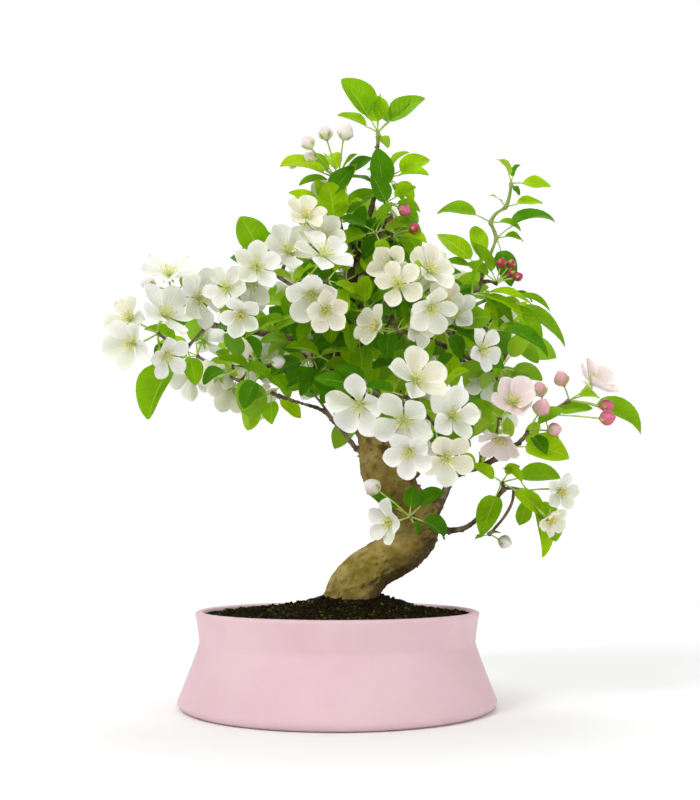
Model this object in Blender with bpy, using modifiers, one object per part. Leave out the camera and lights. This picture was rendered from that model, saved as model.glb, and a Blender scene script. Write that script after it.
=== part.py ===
"""Apple blossom bonsai in a round collared pot, at its real size.

The model is in metres with +Z up. The pot stands on z = 0 with its axis on the z axis, and the
crown faces -Y. A crooked trunk rises from a mound of soil, boughs leave it to all sides, and each
bough ends at one mass of twigs, leaves, blossoms and buds, which keeps to its own space.
"""

import math
import random
from collections import namedtuple

import bmesh
import bpy
import numpy as np
from mathutils import Vector

MM = 0.001
GAP = 0.0003

# Pot, a flared foot under a short collar
POT_HEIGHT = 0.0585
POT_FOOT_RADIUS = 0.0965
POT_BASE_RADIUS = 0.100
POT_BASE_HEIGHT = 0.004
POT_NECK_RADIUS = 0.0873
POT_NECK_HEIGHT = 0.0395
POT_RIM_RADIUS = 0.090
POT_WALL = 0.005
POT_FLOOR = 0.007
POT_STEPS = 30

# Soil, a low mound in the pot with a hump round the foot of the trunk
SOIL_EDGE_HEIGHT = 0.0555
SOIL_RISE = 0.0040
SOIL_HUMP = 0.0115
SOIL_HUMP_REACH = 0.035
SOIL_HUMP_X = 0.013
SOIL_RING_SHARES = (0.0, 0.35, 0.65, 0.87, 1.0)

# Trunk foot, below the soil's surface, where it is cut flat
TRUNK_FOOT_HEIGHT = 0.0575
TRUNK_SIDES_RESOLUTION = 3
POINTS_PER_SPAN = 2
ROOT_FLARES = ((165, 19, 6.5), (215, 16, 6.0), (275, 15, 5.5), (350, 19, 7.0), (70, 19, 6.0))
ROOT_FLARE_HEIGHT = 0.078

# Organs
TWIG_RADIUS = 0.0009
KNOB_RADIUS = 0.0023
STALK_RADIUS = 0.0006
STALK_SPREAD = math.cos(math.radians(12))
LEAF_WIDTH_SHARE = 0.66
LEAF_KEEL = 0.0009
LONG_LEAF = 0.024
KITE_WIDENING = 1.15
STALK_SHARE = 0.42
BLOSSOM_RADIUS = 0.0185
BLOSSOM_CUP = math.radians(24)
BLOSSOM_THICKNESS = 0.0012
BUD_LENGTH = 0.0100
BUD_RADIUS = 0.0047
BUD_ROOM = 0.0056
SMALL_BUDS = {"foliage_right_top": 0.72, "foliage_top_right": 0.8, "foliage_far_right": 0.9}

# Rules that keep the masses apart
SPACE_GAP = 0.0015
LIMB_CLEARANCE = 0.0009
TWIG_CLEARANCE = 0.0034
LEAST_TO_OTHERS = 0.0026
TWIG_TRIES = 9
ORGAN_TRIES = 26

FRONT, BACK = (0.0, -1.0, 0.0), (0.0, 1.0, 0.0)
GOLDEN_ANGLE = 137.5

# Points are in millimetres and run from the root end to the tip. Radii, in millimetres too, are
# given at each point of the trunk, and at the two ends of a bough.
Limb = namedtuple("Limb", "name parents points radii")
LIMBS = (
    Limb("trunk", (),
         ((5, -6, 50), (8, -5, 64), (12, -5, 75), (22, -3, 85), (36, -1, 93), (47, 0, 101),
          (52, 0, 111), (47, 0, 123), (38, 0, 134), (29, 1, 146), (25, 2, 157), (22, 2, 168),
          (16, 2, 181), (10, 2, 195), (5, 2, 207), (2, 2, 218), (3, 3, 238), (8, 3, 268),
          (12, 3, 299)),
         (17.5, 17, 16.2, 14.6, 14.2, 14.4, 14.2, 13.4, 14.2, 13.4, 12.0, 9.4, 8.4, 8.4, 8.2, 7.8,
          6.4, 4.6, 3.2)),
    Limb("bough_leader", ("trunk",),
         ((11, 3, 291), (14, 3, 307), (21, 2, 321), (25, 0, 338), (26, 0, 354), (27, 0, 372)),
         (2.6, 1.3)),
    Limb("bough_top_left", ("trunk", "bough_leader"),
         ((8, 3, 286), (4, -3, 300), (1, -8, 315)), (2.0, 1.3)),
    Limb("bough_top_right", ("trunk", "bough_leader"),
         ((10, 3, 280), (19, -6, 292), (27, -11, 302)), (2.2, 1.4)),
    Limb("bough_upper_left", ("trunk",), ((3, 3, 244), (-9, -14, 247), (-19, -26, 253)),
         (3.2, 2.0)),
    Limb("bough_far_left", ("trunk",),
         ((2, 2, 228), (-22, -5, 232), (-48, -9, 237), (-68, -20, 238), (-76, -27, 238)),
         (3.4, 1.6)),
    Limb("bough_left", ("trunk",), ((0, 2, 209), (-28, -5, 215), (-52, -10, 215)), (2.6, 1.5)),
    Limb("bough_low_left", ("trunk",),
         ((21, 0, 154), (12, -3, 162), (1, -6, 175), (-10, -8, 186), (-25, -10, 191),
          (-35, -12, 194)),
         (1.9, 1.2)),
    Limb("bough_centre", ("trunk",), ((4, 3, 236), (16, -18, 242), (28, -32, 249)), (3.2, 2.0)),
    Limb("bough_front_low", ("trunk",), ((11, 2, 188), (19, -20, 187), (30, -38, 186)),
         (3.2, 2.0)),
    Limb("bough_right_high", ("trunk",),
         ((3, 3, 222), (25, 8, 236), (50, 6, 245), (75, 3, 251), (90, 1, 264)), (3.6, 2.0)),
    Limb("bough_right_fork", ("bough_right_high",),
         ((62, 5, 248), (76, -5, 246), (86, -10, 248)), (1.9, 1.5)),
    Limb("bough_right_mid", ("trunk",),
         ((50, 0, 114), (62, 0, 121), (68, 0, 130), (76, -2, 144), (95, -6, 151),
          (112, -9, 161), (124, -14, 172)),
         (3.8, 1.4)),
    Limb("bough_right_inner", ("bough_right_mid",),
         ((80, -3, 146), (77, -4, 153), (77, -5, 157)), (1.5, 1.2)),
    Limb("bough_right_blossom", ("bough_right_mid",),
         ((92, -5, 149), (93, -14, 158), (98, -22, 164)), (1.8, 1.4)),
    Limb("bough_right_low", ("trunk",),
         ((52, 0, 112), (77, -3, 109), (92, -6, 118), (104, -10, 132)), (2.4, 1.4)),
    Limb("bough_back_left", ("trunk",), ((2, 3, 220), (-12, 24, 233), (-28, 42, 244)),
         (3.2, 1.9)),
    Limb("bough_back_top", ("trunk",), ((7, 3, 258), (11, 20, 274), (11, 32, 284)), (2.6, 1.6)),
    Limb("bough_back_right", ("trunk",), ((4, 3, 244), (30, 27, 250), (52, 42, 254)),
         (3.2, 1.9)),
    Limb("bough_back_low", ("trunk",), ((15, 2, 181), (26, 26, 190), (34, 42, 195)),
         (2.8, 1.7)),
    Limb("bough_back_far_left", ("trunk",), ((2, 2, 202), (-26, 16, 214), (-56, 25, 220)),
         (2.8, 1.6)),
    Limb("bough_back_far_right", ("bough_right_high",),
         ((45, 6, 244), (72, 22, 235), (92, 29, 226)), (2.2, 1.5)),
)

# A spur is the short shoot that carries a bunch of organs. Its place is in millimetres. Each leaf
# is (clock, blade length), each blossom or bud is (clock, stalk length): the clock is the turn in
# degrees from upright, seen by someone whom the mass faces, and lengths are in millimetres.
Spur = namedtuple("Spur", "at leaves blossoms buds")

# A filling adds spurs by rule: how many, in an egg-shaped room with this centre and these radii,
# and how many leaves, blossoms and buds each of them carries.
Filling = namedtuple("Filling", "count centre radii leaves blossoms buds")
Mass = namedtuple("Mass", "name limb facing seed spurs fillings")
MASSES = (
    Mass("foliage_top", "bough_leader", FRONT, 11, (
        Spur((27, 0, 379),
             ((-32, 30), (38, 26), (56, 28), (7, 17), (-66, 20), (142, 9), (-10, 20)), (), ()),
    ), ()),
    Mass("foliage_top_left", "bough_top_left", FRONT, 12, (
        Spur((0, -12, 341),
             ((-78, 28), (20, 22), (-18, 18), (-96, 18), (60, 20)), (),
             ((-73, 28), (-60, 19), (-47, 28), (-16, 28), (8, 28))),
        Spur((-3, -14, 313),
             ((-62, 25), (-95, 20), (-28, 20), (48, 18), (100, 20)), (), ()),
        Spur((0, 8, 318), ((110, 18), (-80, 16)), ((-30, 16), (25, 18)), ()),
    ), ()),
    Mass("foliage_top_right", "bough_top_right", FRONT, 13, (
        Spur((34, 6, 349), ((58, 24), (92, 22), (128, 18), (-20, 16)), (), ()),
        Spur((32, -3, 328), ((146, 30), (100, 18), (60, 18)), (), ((178, 9), (124, 15))),
        Spur((36, -14, 302), ((-120, 18), (140, 20), (50, 18), (106, 18)), (), ((84, 12),)),
    ), ()),
    Mass("foliage_upper_left", "bough_upper_left", FRONT, 14, (
        Spur((-44, -34, 272), ((-24, 28), (-62, 22)), ((58, 19), (-140, 20)), ()),
        Spur((-62, -45, 254), ((-150, 18),), ((-97, 14), (175, 15), (-10, 17)), ()),
        Spur((-23, -50, 260), ((-160, 18),), ((140, 16), (48, 22)), ()),
        Spur((-24, -30, 288), ((-62, 18), (85, 18)), ((-18, 15), (62, 14)), ()),
        Spur((-21, -58, 240), ((-116, 27), (172, 24), (60, 18)), (), ()),
        Spur((-6, -48, 262), ((130, 24), (40, 18)), ((95, 15),), ()),
    ), ()),
    Mass("foliage_far_left", "bough_far_left", FRONT, 15, (
        Spur((-84, -27, 237), ((8, 33), (80, 20)), (), ()),
        Spur((-96, -27, 224), ((-143, 38), (130, 25), (-60, 20)), (), ()),
        Spur((-103, -34, 258), ((70, 22), (168, 18)), ((-16, 13),), ((-76, 13),)),
        Spur((-112, -42, 230), ((170, 16),), ((31, 14), (112, 18), (-52, 13), (-128, 18)), ()),
    ), ()),
    Mass("foliage_left", "bough_left", FRONT, 16, (
        Spur((-68, -18, 213), ((-95, 20), (-30, 18)), ((-146, 13), (150, 15)), ()),
        Spur((-50, -17, 217), ((112, 24), (150, 18), (60, 16)), ((-60, 13),), ((104, 9),)),
    ), ()),
    Mass("foliage_low_left", "bough_low_left", FRONT, 17, (
        Spur((-43, -12, 197), ((-72, 18), (178, 16), (62, 23), (-15, 18), (-108, 16), (130, 18)),
             (), ()),
    ), ()),
    Mass("foliage_centre", "bough_centre", FRONT, 18, (
        Spur((44, -44, 258), ((-20, 18), (100, 20)), ((-78, 15), (58, 19), (155, 20)), ()),
        Spur((37, -42, 232), ((-75, 20),), ((-125, 14), (15, 14)), ()),
        Spur((64, -40, 234), ((98, 26), (130, 20)), ((-20, 17), (45, 15)), ()),
        Spur((79, -29, 223), ((125, 26), (60, 20)), ((82, 15), (-132, 16), (5, 17)), ()),
        Spur((60, -26, 262), ((70, 22),), ((-20, 14), (60, 14)), ()),
    ), ()),
    Mass("foliage_front_low", "bough_front_low", FRONT, 19, (
        Spur((41, -58, 188), ((-75, 18),), ((34, 14), (178, 15)), ()),
        Spur((22, -46, 193), ((-74, 28), (-100, 24), (-48, 20)), ((-140, 14),), ()),
        Spur((60, -48, 172), ((128, 20), (100, 18)), ((62, 15), (-140, 20), (168, 17)), ()),
        Spur((64, -36, 190), ((40, 22),), ((80, 14), (-10, 14)), ()),
    ), ()),
    Mass("foliage_right_top", "bough_right_high", FRONT, 20, (
        Spur((97, 0, 281), ((-2, 25), (-38, 28), (52, 18), (-72, 22)), (), ()),
        Spur((107, 2, 305), ((56, 30), (85, 14)), (), ()),
        Spur((103, 2, 316), ((-70, 27),), (), ()),
        Spur((114, 3, 327), ((75, 18), (-50, 10)), (), ()),
        Spur((118, 3, 344), ((-14, 14), (10, 11), (150, 8)), (), ()),
        Spur((105, -8, 271), ((60, 28), (85, 20), (-55, 24)), (),
             ((8, 11), (36, 13), (58, 9), (84, 12), (112, 8))),
    ), ()),
    Mass("foliage_right_mid", "bough_right_fork", FRONT, 21, (
        Spur((88, -14, 262), ((-70, 26), (70, 28), (30, 24), (100, 24)), (), ()),
        Spur((108, -10, 260), ((114, 40), (86, 20), (135, 26)), (), ()),
        Spur((97, -13, 238), ((98, 30), (113, 37), (130, 38), (152, 30), (75, 22)), (), ()),
    ), ()),
    Mass("foliage_far_right", "bough_right_mid", FRONT, 22, (
        Spur((132, -18, 182), ((80, 22), (-150, 16), (165, 22)), (), ((-10, 12), (94, 36))),
        Spur((148, -20, 191), ((105, 42), (62, 20)), ((52, 17),), ((-22, 10), (98, 20))),
    ), ()),
    Mass("foliage_right_blossom", "bough_right_blossom", FRONT, 23, (
        Spur((101, -34, 178), ((60, 18), (-60, 16)), ((42, 14), (190, 9)), ((-84, 17),)),
        Spur((120, -28, 170), ((160, 22), (100, 20)), (), ((48, 15), (80, 12))),
        Spur((106, -28, 160), ((90, 28), (165, 26), (-150, 20), (130, 24)), (), ()),
    ), ()),
    Mass("foliage_right_inner", "bough_right_inner", FRONT, 24, (
        Spur((77, -5, 162), ((-70, 18), (-40, 13), (118, 20), (40, 16)), (), ((-20, 12), (25, 16))),
    ), ()),
    Mass("foliage_right_low", "bough_right_low", FRONT, 25, (
        Spur((105, -12, 139), ((72, 33), (120, 24), (-10, 24), (-160, 28), (20, 20)), (), ()),
        Spur((121, -11, 134), ((163, 32), (146, 28), (-170, 17)), ((58, 15), (100, 20)), ()),
        Spur((96, -12, 106), ((-100, 7), (60, 7)), (), ((120, 7),)),
    ), ()),
    Mass("foliage_trunk_spur", "trunk", FRONT, 26, (
        Spur((45, -26, 117), ((45, 21), (108, 23), (-54, 22), (150, 9), (5, 14)),
             ((-108, 17),), ((-56, 25),)),
    ), ()),
    Mass("foliage_back_left", "bough_back_left", BACK, 31, (), (
        Filling(6, (-38, 56, 252), (34, 20, 30), 3, 2, 1),
    )),
    Mass("foliage_back_top", "bough_back_top", BACK, 32, (), (
        Filling(3, (12, 36, 304), (22, 16, 24), 4, 1, 1),
    )),
    Mass("foliage_back_right", "bough_back_right", BACK, 33, (), (
        Filling(6, (62, 54, 256), (36, 20, 26), 3, 2, 1),
    )),
    Mass("foliage_back_low", "bough_back_low", BACK, 34, (), (
        Filling(4, (42, 54, 200), (26, 16, 18), 3, 2, 0),
    )),
    Mass("foliage_back_far_left", "bough_back_far_left", BACK, 35, (), (
        Filling(4, (-74, 24, 224), (26, 16, 20), 3, 2, 0),
    )),
    Mass("foliage_back_far_right", "bough_back_far_right", BACK, 36, (), (
        Filling(4, (104, 34, 224), (26, 16, 22), 4, 1, 0),
    )),
)
TRUNK_SPUR_ROOT, TRUNK_SPUR_HEADING = (48, -13.35, 117), (0.0, -1.0, 0.0)

# Grown organs, in metres
Twig = namedtuple("Twig", "path radii")
Leaf = namedtuple("Leaf", "root heading normal stalk length width curl")
Blossom = namedtuple("Blossom", "root centre normal radius roll")
Bud = namedtuple("Bud", "root centre axis length radius")


def smooth(points, per_span):
    """Points on the Catmull-Rom curve through the given ones."""
    knots = [points[0]] + list(points) + [points[-1]]
    found = []
    for a, b, c, d in zip(knots, knots[1:], knots[2:], knots[3:]):
        for step in range(per_span):
            t = step / per_span
            found.append(0.5 * (2 * b + (c - a) * t + (2 * a - 5 * b + 4 * c - d) * t * t
                                + (3 * b - a - 3 * c + d) * t ** 3))
    return found + [points[-1]]


def limb_line(limb):
    """Centre points and radii of a limb, in metres."""
    points = smooth([Vector(p) * MM for p in limb.points], POINTS_PER_SPAN)
    count = len(points)
    if len(limb.radii) == len(limb.points):
        knots = [Vector((r * MM, 0, 0)) for r in limb.radii]
        return points, [r.x for r in smooth(knots, POINTS_PER_SPAN)]
    start, end = (r * MM for r in limb.radii)
    return points, [start + (end - start) * i / (count - 1) for i in range(count)]


def unit(vector):
    """The vector at length one."""
    return vector / max(np.linalg.norm(vector), 1e-12)


class Room:
    """What a new organ must keep clear of: the limbs, the other masses and the blossoms."""

    def __init__(self, lines):
        self.starts, self.ends, self.radii = [], [], []
        for points, radii in lines:
            for a, b, ra, rb in zip(points, points[1:], radii, radii[1:]):
                self.starts.append(a)
                self.ends.append(b)
                self.radii.append(max(ra, rb))
        self.starts, self.ends, self.radii = map(np.array, (self.starts, self.ends, self.radii))
        self.seeds, self.owners = np.zeros((0, 3)), np.zeros(0, int)
        self.blossoms, self.leaves, self.buds = [], [], []
        self.twigs = None

    def claim(self, points, owner):
        """Points that belong to a mass: what lies nearest to them is its space."""
        self.seeds = np.vstack([self.seeds, np.array(points)])
        self.owners = np.concatenate([self.owners, np.full(len(points), owner)])

    def off_limbs(self, points, clearance):
        """True where every point keeps that clearance to every limb."""
        points = np.array(points)[:, None, :]
        along = self.ends - self.starts
        share = ((points - self.starts) * along).sum(-1) / (along ** 2).sum(-1)
        nearest = self.starts + np.clip(share, 0, 1)[..., None] * along
        return bool((np.linalg.norm(points - nearest, axis=-1) > self.radii + clearance).all())

    def off_twigs_of_all(self, points):
        """True where no point of a blade or a petal comes near a twig of any mass."""
        return self.twigs is None or self.twigs.off_limbs(points, 0.0006)

    def in_space(self, points, owner):
        """True where every point lies in the mass's own space."""
        away = np.linalg.norm(np.array(points)[:, None, :] - self.seeds, axis=-1)
        own, other = away[:, self.owners == owner].min(1), away[:, self.owners != owner].min(1)
        return bool(((own + SPACE_GAP < other) & (other > LEAST_TO_OTHERS)).all())

    def off_twigs(self, points, owner):
        """True where a new twig keeps away from the twigs of the other masses."""
        others = self.seeds[self.owners != owner]
        if not len(others):
            return True
        away = np.linalg.norm(np.array(points)[:, None, :] - others, axis=-1)
        return bool((away > TWIG_CLEARANCE).all())

    def off_blossoms(self, points):
        """True where no point lies in the petals or the stamens of a blossom."""
        points = np.array(points)
        for blossom in self.blossoms:
            apart = points - blossom.centre
            height = apart @ blossom.normal
            across = np.linalg.norm(apart - height[:, None] * blossom.normal, axis=1)
            petals = (across < 0.95 * blossom.radius) & (
                np.abs(height - across * math.tan(BLOSSOM_CUP)) < 0.16 * blossom.radius)
            stamens = (across < 0.3 * blossom.radius) & (height > 0) & (
                height < 0.45 * blossom.radius)
            if (petals | stamens).any():
                return False
        return True

    def off_buds(self, points):
        """True where no point lies in a bud."""
        if not self.buds:
            return True
        middles = np.array([bud.centre + bud.axis * bud.length / 2 for bud in self.buds])
        away = np.linalg.norm(np.array(points)[:, None, :] - middles, axis=-1)
        return bool((away > BUD_ROOM).all())

    def off_leaves(self, points):
        """True where no leaf that is already there is crossed by these points' surface."""
        points = np.array(points)
        for leaf in self.leaves:
            middle = leaf_point(leaf, 0.5, 0)
            apart = points - middle
            along, across = apart @ leaf.heading, apart @ np.cross(leaf.normal, leaf.heading)
            height = apart @ leaf.normal + leaf.curl * along ** 2 / (2 * leaf.length)
            inside = (2 * along / leaf.length) ** 2 + (2 * across / leaf.width) ** 2 < 0.9
            inside &= np.abs(height) < 0.009
            if inside.any() and (height[inside].min() < 0.0007) and (
                    height[inside].max() > -0.0007):
                if np.abs(height[inside]).min() < 0.0007 or (
                        height[inside].min() < 0 < height[inside].max()):
                    return False
        return True


def compass(facing):
    """The right, up and outward directions of a mass."""
    out = np.array(facing)
    up = np.array((0.0, 0.0, 1.0))
    return np.cross(up, out), up, out


def direction(facing, clock, tilt):
    """The direction at this clock angle, tilted outward, both in degrees."""
    right, up, out = compass(facing)
    turn, lean = math.radians(clock), math.radians(tilt)
    return math.cos(lean) * (math.sin(turn) * right + math.cos(turn) * up) + math.sin(lean) * out


def leaf_point(leaf, share, side, sink=0.0):
    """A point of the blade: share runs from its base to its tip, and side from -1 to 1."""
    bend = leaf.curl * share
    if abs(leaf.curl) > 1e-3:
        run, fall = math.sin(bend) / leaf.curl, (1 - math.cos(bend)) / leaf.curl
    else:
        run, fall = share, 0.0
    across = np.cross(leaf.normal, leaf.heading)
    normal = math.cos(bend) * leaf.normal + math.sin(bend) * leaf.heading
    base = leaf.root + leaf.heading * leaf.stalk
    spine = base + leaf.length * (run * leaf.heading - fall * leaf.normal)
    half = 0.5 * leaf.width * math.sin(math.pi * share ** 0.8) ** 0.8
    return spine + side * half * across - sink * normal


def leaf_samples(leaf):
    """Points spread over a leaf and its stalk."""
    stalk = [leaf.root + leaf.heading * leaf.stalk * t for t in (0.4, 0.7, 1.0)]
    shares = (0.15, 0.3, 0.45, 0.6, 0.75, 0.88, 0.999)
    return stalk + [leaf_point(leaf, s, side) for s in shares for side in (-1, -0.5, 0, 0.5, 1)]


def spread_out(heading, others):
    """True where a stalk leaves its knob well apart from the stalks that are there."""
    return all(heading @ other < STALK_SPREAD for other in others)


def blossom_rim(blossom, spread, share):
    """Points on a blossom's petals, spread degrees to both sides of each petal's middle."""
    first = unit(np.cross(blossom.normal, (0.31, 0.87, 0.39)))
    second = np.cross(blossom.normal, first)
    found = []
    for petal in range(5):
        for offset in spread:
            turn = blossom.roll + math.radians(72 * petal + offset)
            reach = share * blossom.radius
            outward = math.cos(turn) * first + math.sin(turn) * second
            found.append(blossom.centre + reach * (math.cos(BLOSSOM_CUP) * outward
                                                   + math.sin(BLOSSOM_CUP) * blossom.normal))
    return found


def blossom_samples(blossom):
    """Points spread over a blossom and its stalk."""
    stalk = [blossom.root + (blossom.centre - blossom.root) * t for t in (0.4, 0.7)]
    return (stalk + blossom_rim(blossom, (-26, 0, 26), 1.0) + blossom_rim(blossom, (0,), 0.5)
            + [blossom.centre])


def grow_twig(start, heading, goal, radii, rng):
    """A bent twig from start to goal that leaves along the heading."""
    reach = np.linalg.norm(goal - start)
    bend = start + heading * reach * 0.4
    sway = np.array([rng.uniform(-1, 1) for _ in range(3)]) * reach * 0.07
    control = [start, bend * 0.6 + (start + goal) * 0.2 + sway, goal]
    count = 2 if reach < 0.022 else 3
    path = []
    for step in range(count + 1):
        t = step / count
        path.append((1 - t) ** 2 * control[0] + 2 * t * (1 - t) * control[1] + t * t * control[2])
    return Twig(path, [radii[0] + (radii[1] - radii[0]) * i / count for i in range(count + 1)])


def twig_samples(twig, skip=0.0):
    """Points along a twig, past the skipped length at its start."""
    found = []
    for a, b in zip(twig.path, twig.path[1:]):
        for t in (0.0, 0.25, 0.5, 0.75):
            point = a + (b - a) * t
            if np.linalg.norm(point - twig.path[0]) >= skip:
                found.append(point)
    return found + [twig.path[-1]]


def filled_spurs(mass, rng):
    """The spurs that a mass's fillings add, set evenly by the golden angle."""
    found = []
    for filling in mass.fillings:
        for number in range(filling.count):
            height = 1 - 2 * (number + 0.5) / filling.count
            turn = math.radians(GOLDEN_ANGLE * number) + rng.uniform(0, 0.6)
            reach = 0.78 + 0.22 * rng.random()
            ring = math.sqrt(1 - height * height)
            unit_at = (ring * math.cos(turn) * reach, ring * math.sin(turn) * reach, height * reach)
            at = tuple(c + r * u for c, r, u in zip(filling.centre, filling.radii, unit_at))
            clock = rng.uniform(0, 360)
            turns = [clock + GOLDEN_ANGLE * i for i in range(8)]
            found.append(Spur(
                at,
                tuple((turns[i], rng.uniform(19, 28)) for i in range(filling.leaves)),
                tuple((turns[i] + 60, rng.uniform(12, 17)) for i in range(filling.blossoms)),
                tuple((turns[i] + 100, rng.uniform(11, 18)) for i in range(filling.buds))))
    return found


def root_of(mass):
    """Where a mass's stem starts, just clear of its limb, with its heading and radius."""
    if mass.limb == "trunk":
        return np.array(TRUNK_SPUR_ROOT) * MM, unit(np.array(TRUNK_SPUR_HEADING)), 1.3 * MM
    limb = next(limb for limb in LIMBS if limb.name == mass.limb)
    points, radii = limb_line(limb)
    heading = unit(np.array(points[-1]) - np.array(points[-2]))
    return np.array(points[-1]) + heading * GAP, heading, radii[-1]


def grow_twigs(mass, owner, room, rng):
    """The twigs of a mass and the spurs they reach, each from the nearest twig before it."""
    root, heading, radius = root_of(mass)
    neck = root + heading * 0.004
    stem = Twig([root, neck], [radius, radius * 0.9])
    twigs, joints = [stem], [(neck, heading)]
    room.claim([root, neck], owner)
    spurs = list(mass.spurs) + filled_spurs(mass, rng)
    spurs.sort(key=lambda spur: np.linalg.norm(np.array(spur.at) * MM - neck))
    reached = []
    for spur in spurs:
        goal = np.array(spur.at, float) * MM
        near = sorted(joints, key=lambda joint: np.linalg.norm(joint[0] - goal))
        for attempt in range(TWIG_TRIES):
            start, course = near[min(attempt // 3, len(near) - 1)]
            toward = unit(unit(course) + 1.2 * unit(goal - start))
            twig = grow_twig(start, toward, goal, (radius * 0.8, TWIG_RADIUS), rng)
            samples = twig_samples(twig, 0.003)
            if room.off_limbs(samples, TWIG_RADIUS + LIMB_CLEARANCE) and room.off_twigs(
                    samples, owner):
                twigs.append(twig)
                joints += [(twig.path[i], twig.path[i] - twig.path[i - 1])
                           for i in range(1, len(twig.path))]
                room.claim(twig_samples(twig), owner)
                reached.append((spur, goal, [-unit(twig.path[-1] - twig.path[-2])]))
                break
    return twigs, reached


def grow_blossoms(mass, owner, room, rng, reached):
    """The blossoms and buds of a mass, where there is room for them."""
    blossoms, buds = [], []
    out = compass(mass.facing)[2]
    for spur, knob, headings in reached:
        for clock, stalk in spur.blossoms:
            for attempt in range(ORGAN_TRIES):
                slack = 3 + 3 * attempt
                tilt = rng.uniform(34, 52) + rng.uniform(-1, 1) * 1.8 * attempt
                heading = direction(mass.facing, clock + rng.uniform(-slack, slack), tilt)
                reach = stalk * MM * rng.uniform(0.92, 1.08 + 0.04 * attempt)
                stray = np.array([rng.uniform(-0.4, 0.4) for _ in range(3)])
                normal = unit(0.85 * heading + 0.55 * out + stray)
                radius = BLOSSOM_RADIUS * rng.uniform(0.9, 1.08) * 0.988 ** attempt
                new = Blossom(knob, knob + heading * reach, normal, radius,
                              rng.uniform(0, math.tau))
                samples = blossom_samples(new)
                if (spread_out(heading, headings) and room.in_space(samples, owner)
                        and room.off_limbs(samples, LIMB_CLEARANCE)
                        and room.off_twigs_of_all(samples[2:]) and room.off_blossoms(samples)
                        and room.off_buds(samples) and faces_clear(new, room)):
                    room.blossoms.append(new)
                    blossoms.append(new)
                    headings.append(heading)
                    break
        for clock, stalk in spur.buds:
            for attempt in range(ORGAN_TRIES):
                slack = 5 + 2 * attempt
                heading = direction(mass.facing, clock + rng.uniform(-slack, slack),
                                    rng.uniform(5, 40) + 0.5 * attempt)
                size = rng.uniform(0.82, 1.15) * SMALL_BUDS.get(mass.name, 1.0)
                axis = unit(heading + np.array([rng.uniform(-0.2, 0.2) for _ in range(3)]))
                reach = stalk * MM * rng.uniform(0.95, 1.05 + 0.02 * attempt)
                new = Bud(knob, knob + heading * reach, axis, BUD_LENGTH * size,
                          BUD_RADIUS * size)
                samples = [new.root + (new.centre - new.root) * t for t in (0.4, 0.7, 1.0)]
                samples += [new.centre + axis * new.length * t for t in (0.3, 0.6, 1.0)]
                if (spread_out(heading, headings) and room.in_space(samples, owner)
                        and room.off_limbs(samples, BUD_RADIUS) and room.off_blossoms(samples)
                        and room.off_buds(samples)):
                    room.buds.append(new)
                    buds.append(new)
                    headings.append(heading)
                    break
    return blossoms, buds


def faces_clear(new, room):
    """True where no earlier blossom's rim lies in the new one."""
    trial = Room([])
    trial.blossoms = [new]
    near = [b for b in room.blossoms if np.linalg.norm(b.centre - new.centre) < 0.045]
    return all(trial.off_blossoms(blossom_samples(b)) for b in near)


def grow_leaves(mass, owner, room, rng, reached):
    """The leaves of a mass: one that would leave its space or touch a limb is skipped."""
    leaves = []
    _, up, out = compass(mass.facing)
    for spur, knob, headings in reached:
        for clock, blade in spur.leaves:
            for attempt in range(ORGAN_TRIES):
                slack = 4 + 1.6 * attempt
                tilt = rng.uniform(-14, 34) + rng.uniform(-1, 1) * 1.2 * attempt
                heading = direction(mass.facing, clock + rng.uniform(-slack, slack), tilt)
                wish = 0.72 * up + 0.75 * out + np.array([rng.uniform(-0.3, 0.3)
                                                         for _ in range(3)])
                normal = unit(wish - heading * (wish @ heading))
                length = blade * MM * rng.uniform(0.94, 1.06) * 0.985 ** attempt
                width = length * LEAF_WIDTH_SHARE * rng.uniform(0.85, 1.1)
                new = Leaf(knob, heading, normal, length * STALK_SHARE, length, width,
                           rng.uniform(0.1, 1.0))
                samples = leaf_samples(new)
                if (spread_out(heading, headings) and room.in_space(samples, owner)
                        and room.off_limbs(samples, LIMB_CLEARANCE)
                        and room.off_twigs_of_all(samples[3:]) and room.off_blossoms(samples)
                        and room.off_buds(samples) and room.off_leaves(samples)):
                    room.leaves.append(new)
                    leaves.append(new)
                    headings.append(heading)
                    break
    return leaves


def grow_crown():
    """Every mass's twigs, leaves, blossoms and buds, by name."""
    room = Room([limb_line(limb) for limb in LIMBS])
    rngs = {mass.name: random.Random(mass.seed) for mass in MASSES}
    grown, reached = {}, {}
    for owner, mass in enumerate(MASSES):
        grown[mass.name], reached[mass.name] = grow_twigs(mass, owner, room, rngs[mass.name])
    room.twigs = Room([(twig.path, twig.radii) for twigs in grown.values() for twig in twigs])
    flowers = {}
    for owner, mass in enumerate(MASSES):
        flowers[mass.name] = grow_blossoms(mass, owner, room, rngs[mass.name],
                                           reached[mass.name])
    crown = {}
    for owner, mass in enumerate(MASSES):
        leaves = grow_leaves(mass, owner, room, rngs[mass.name], reached[mass.name])
        crown[mass.name] = (grown[mass.name], leaves, *flowers[mass.name])
    return crown


def material(name, colour, roughness):
    """A plain material."""
    made = bpy.data.materials.new(name)
    made.use_nodes = True
    shader = made.node_tree.nodes["Principled BSDF"]
    shader.inputs["Base Color"].default_value = (*colour, 1.0)
    shader.inputs["Roughness"].default_value = roughness
    shader.inputs["Metallic"].default_value = 0.0
    made.diffuse_color = (*colour, 1.0)
    return made


def add_object(name, mesh, collection):
    """A new object in a collection."""
    made = bpy.data.objects.new(name, mesh)
    collection.objects.link(made)
    return made


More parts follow.
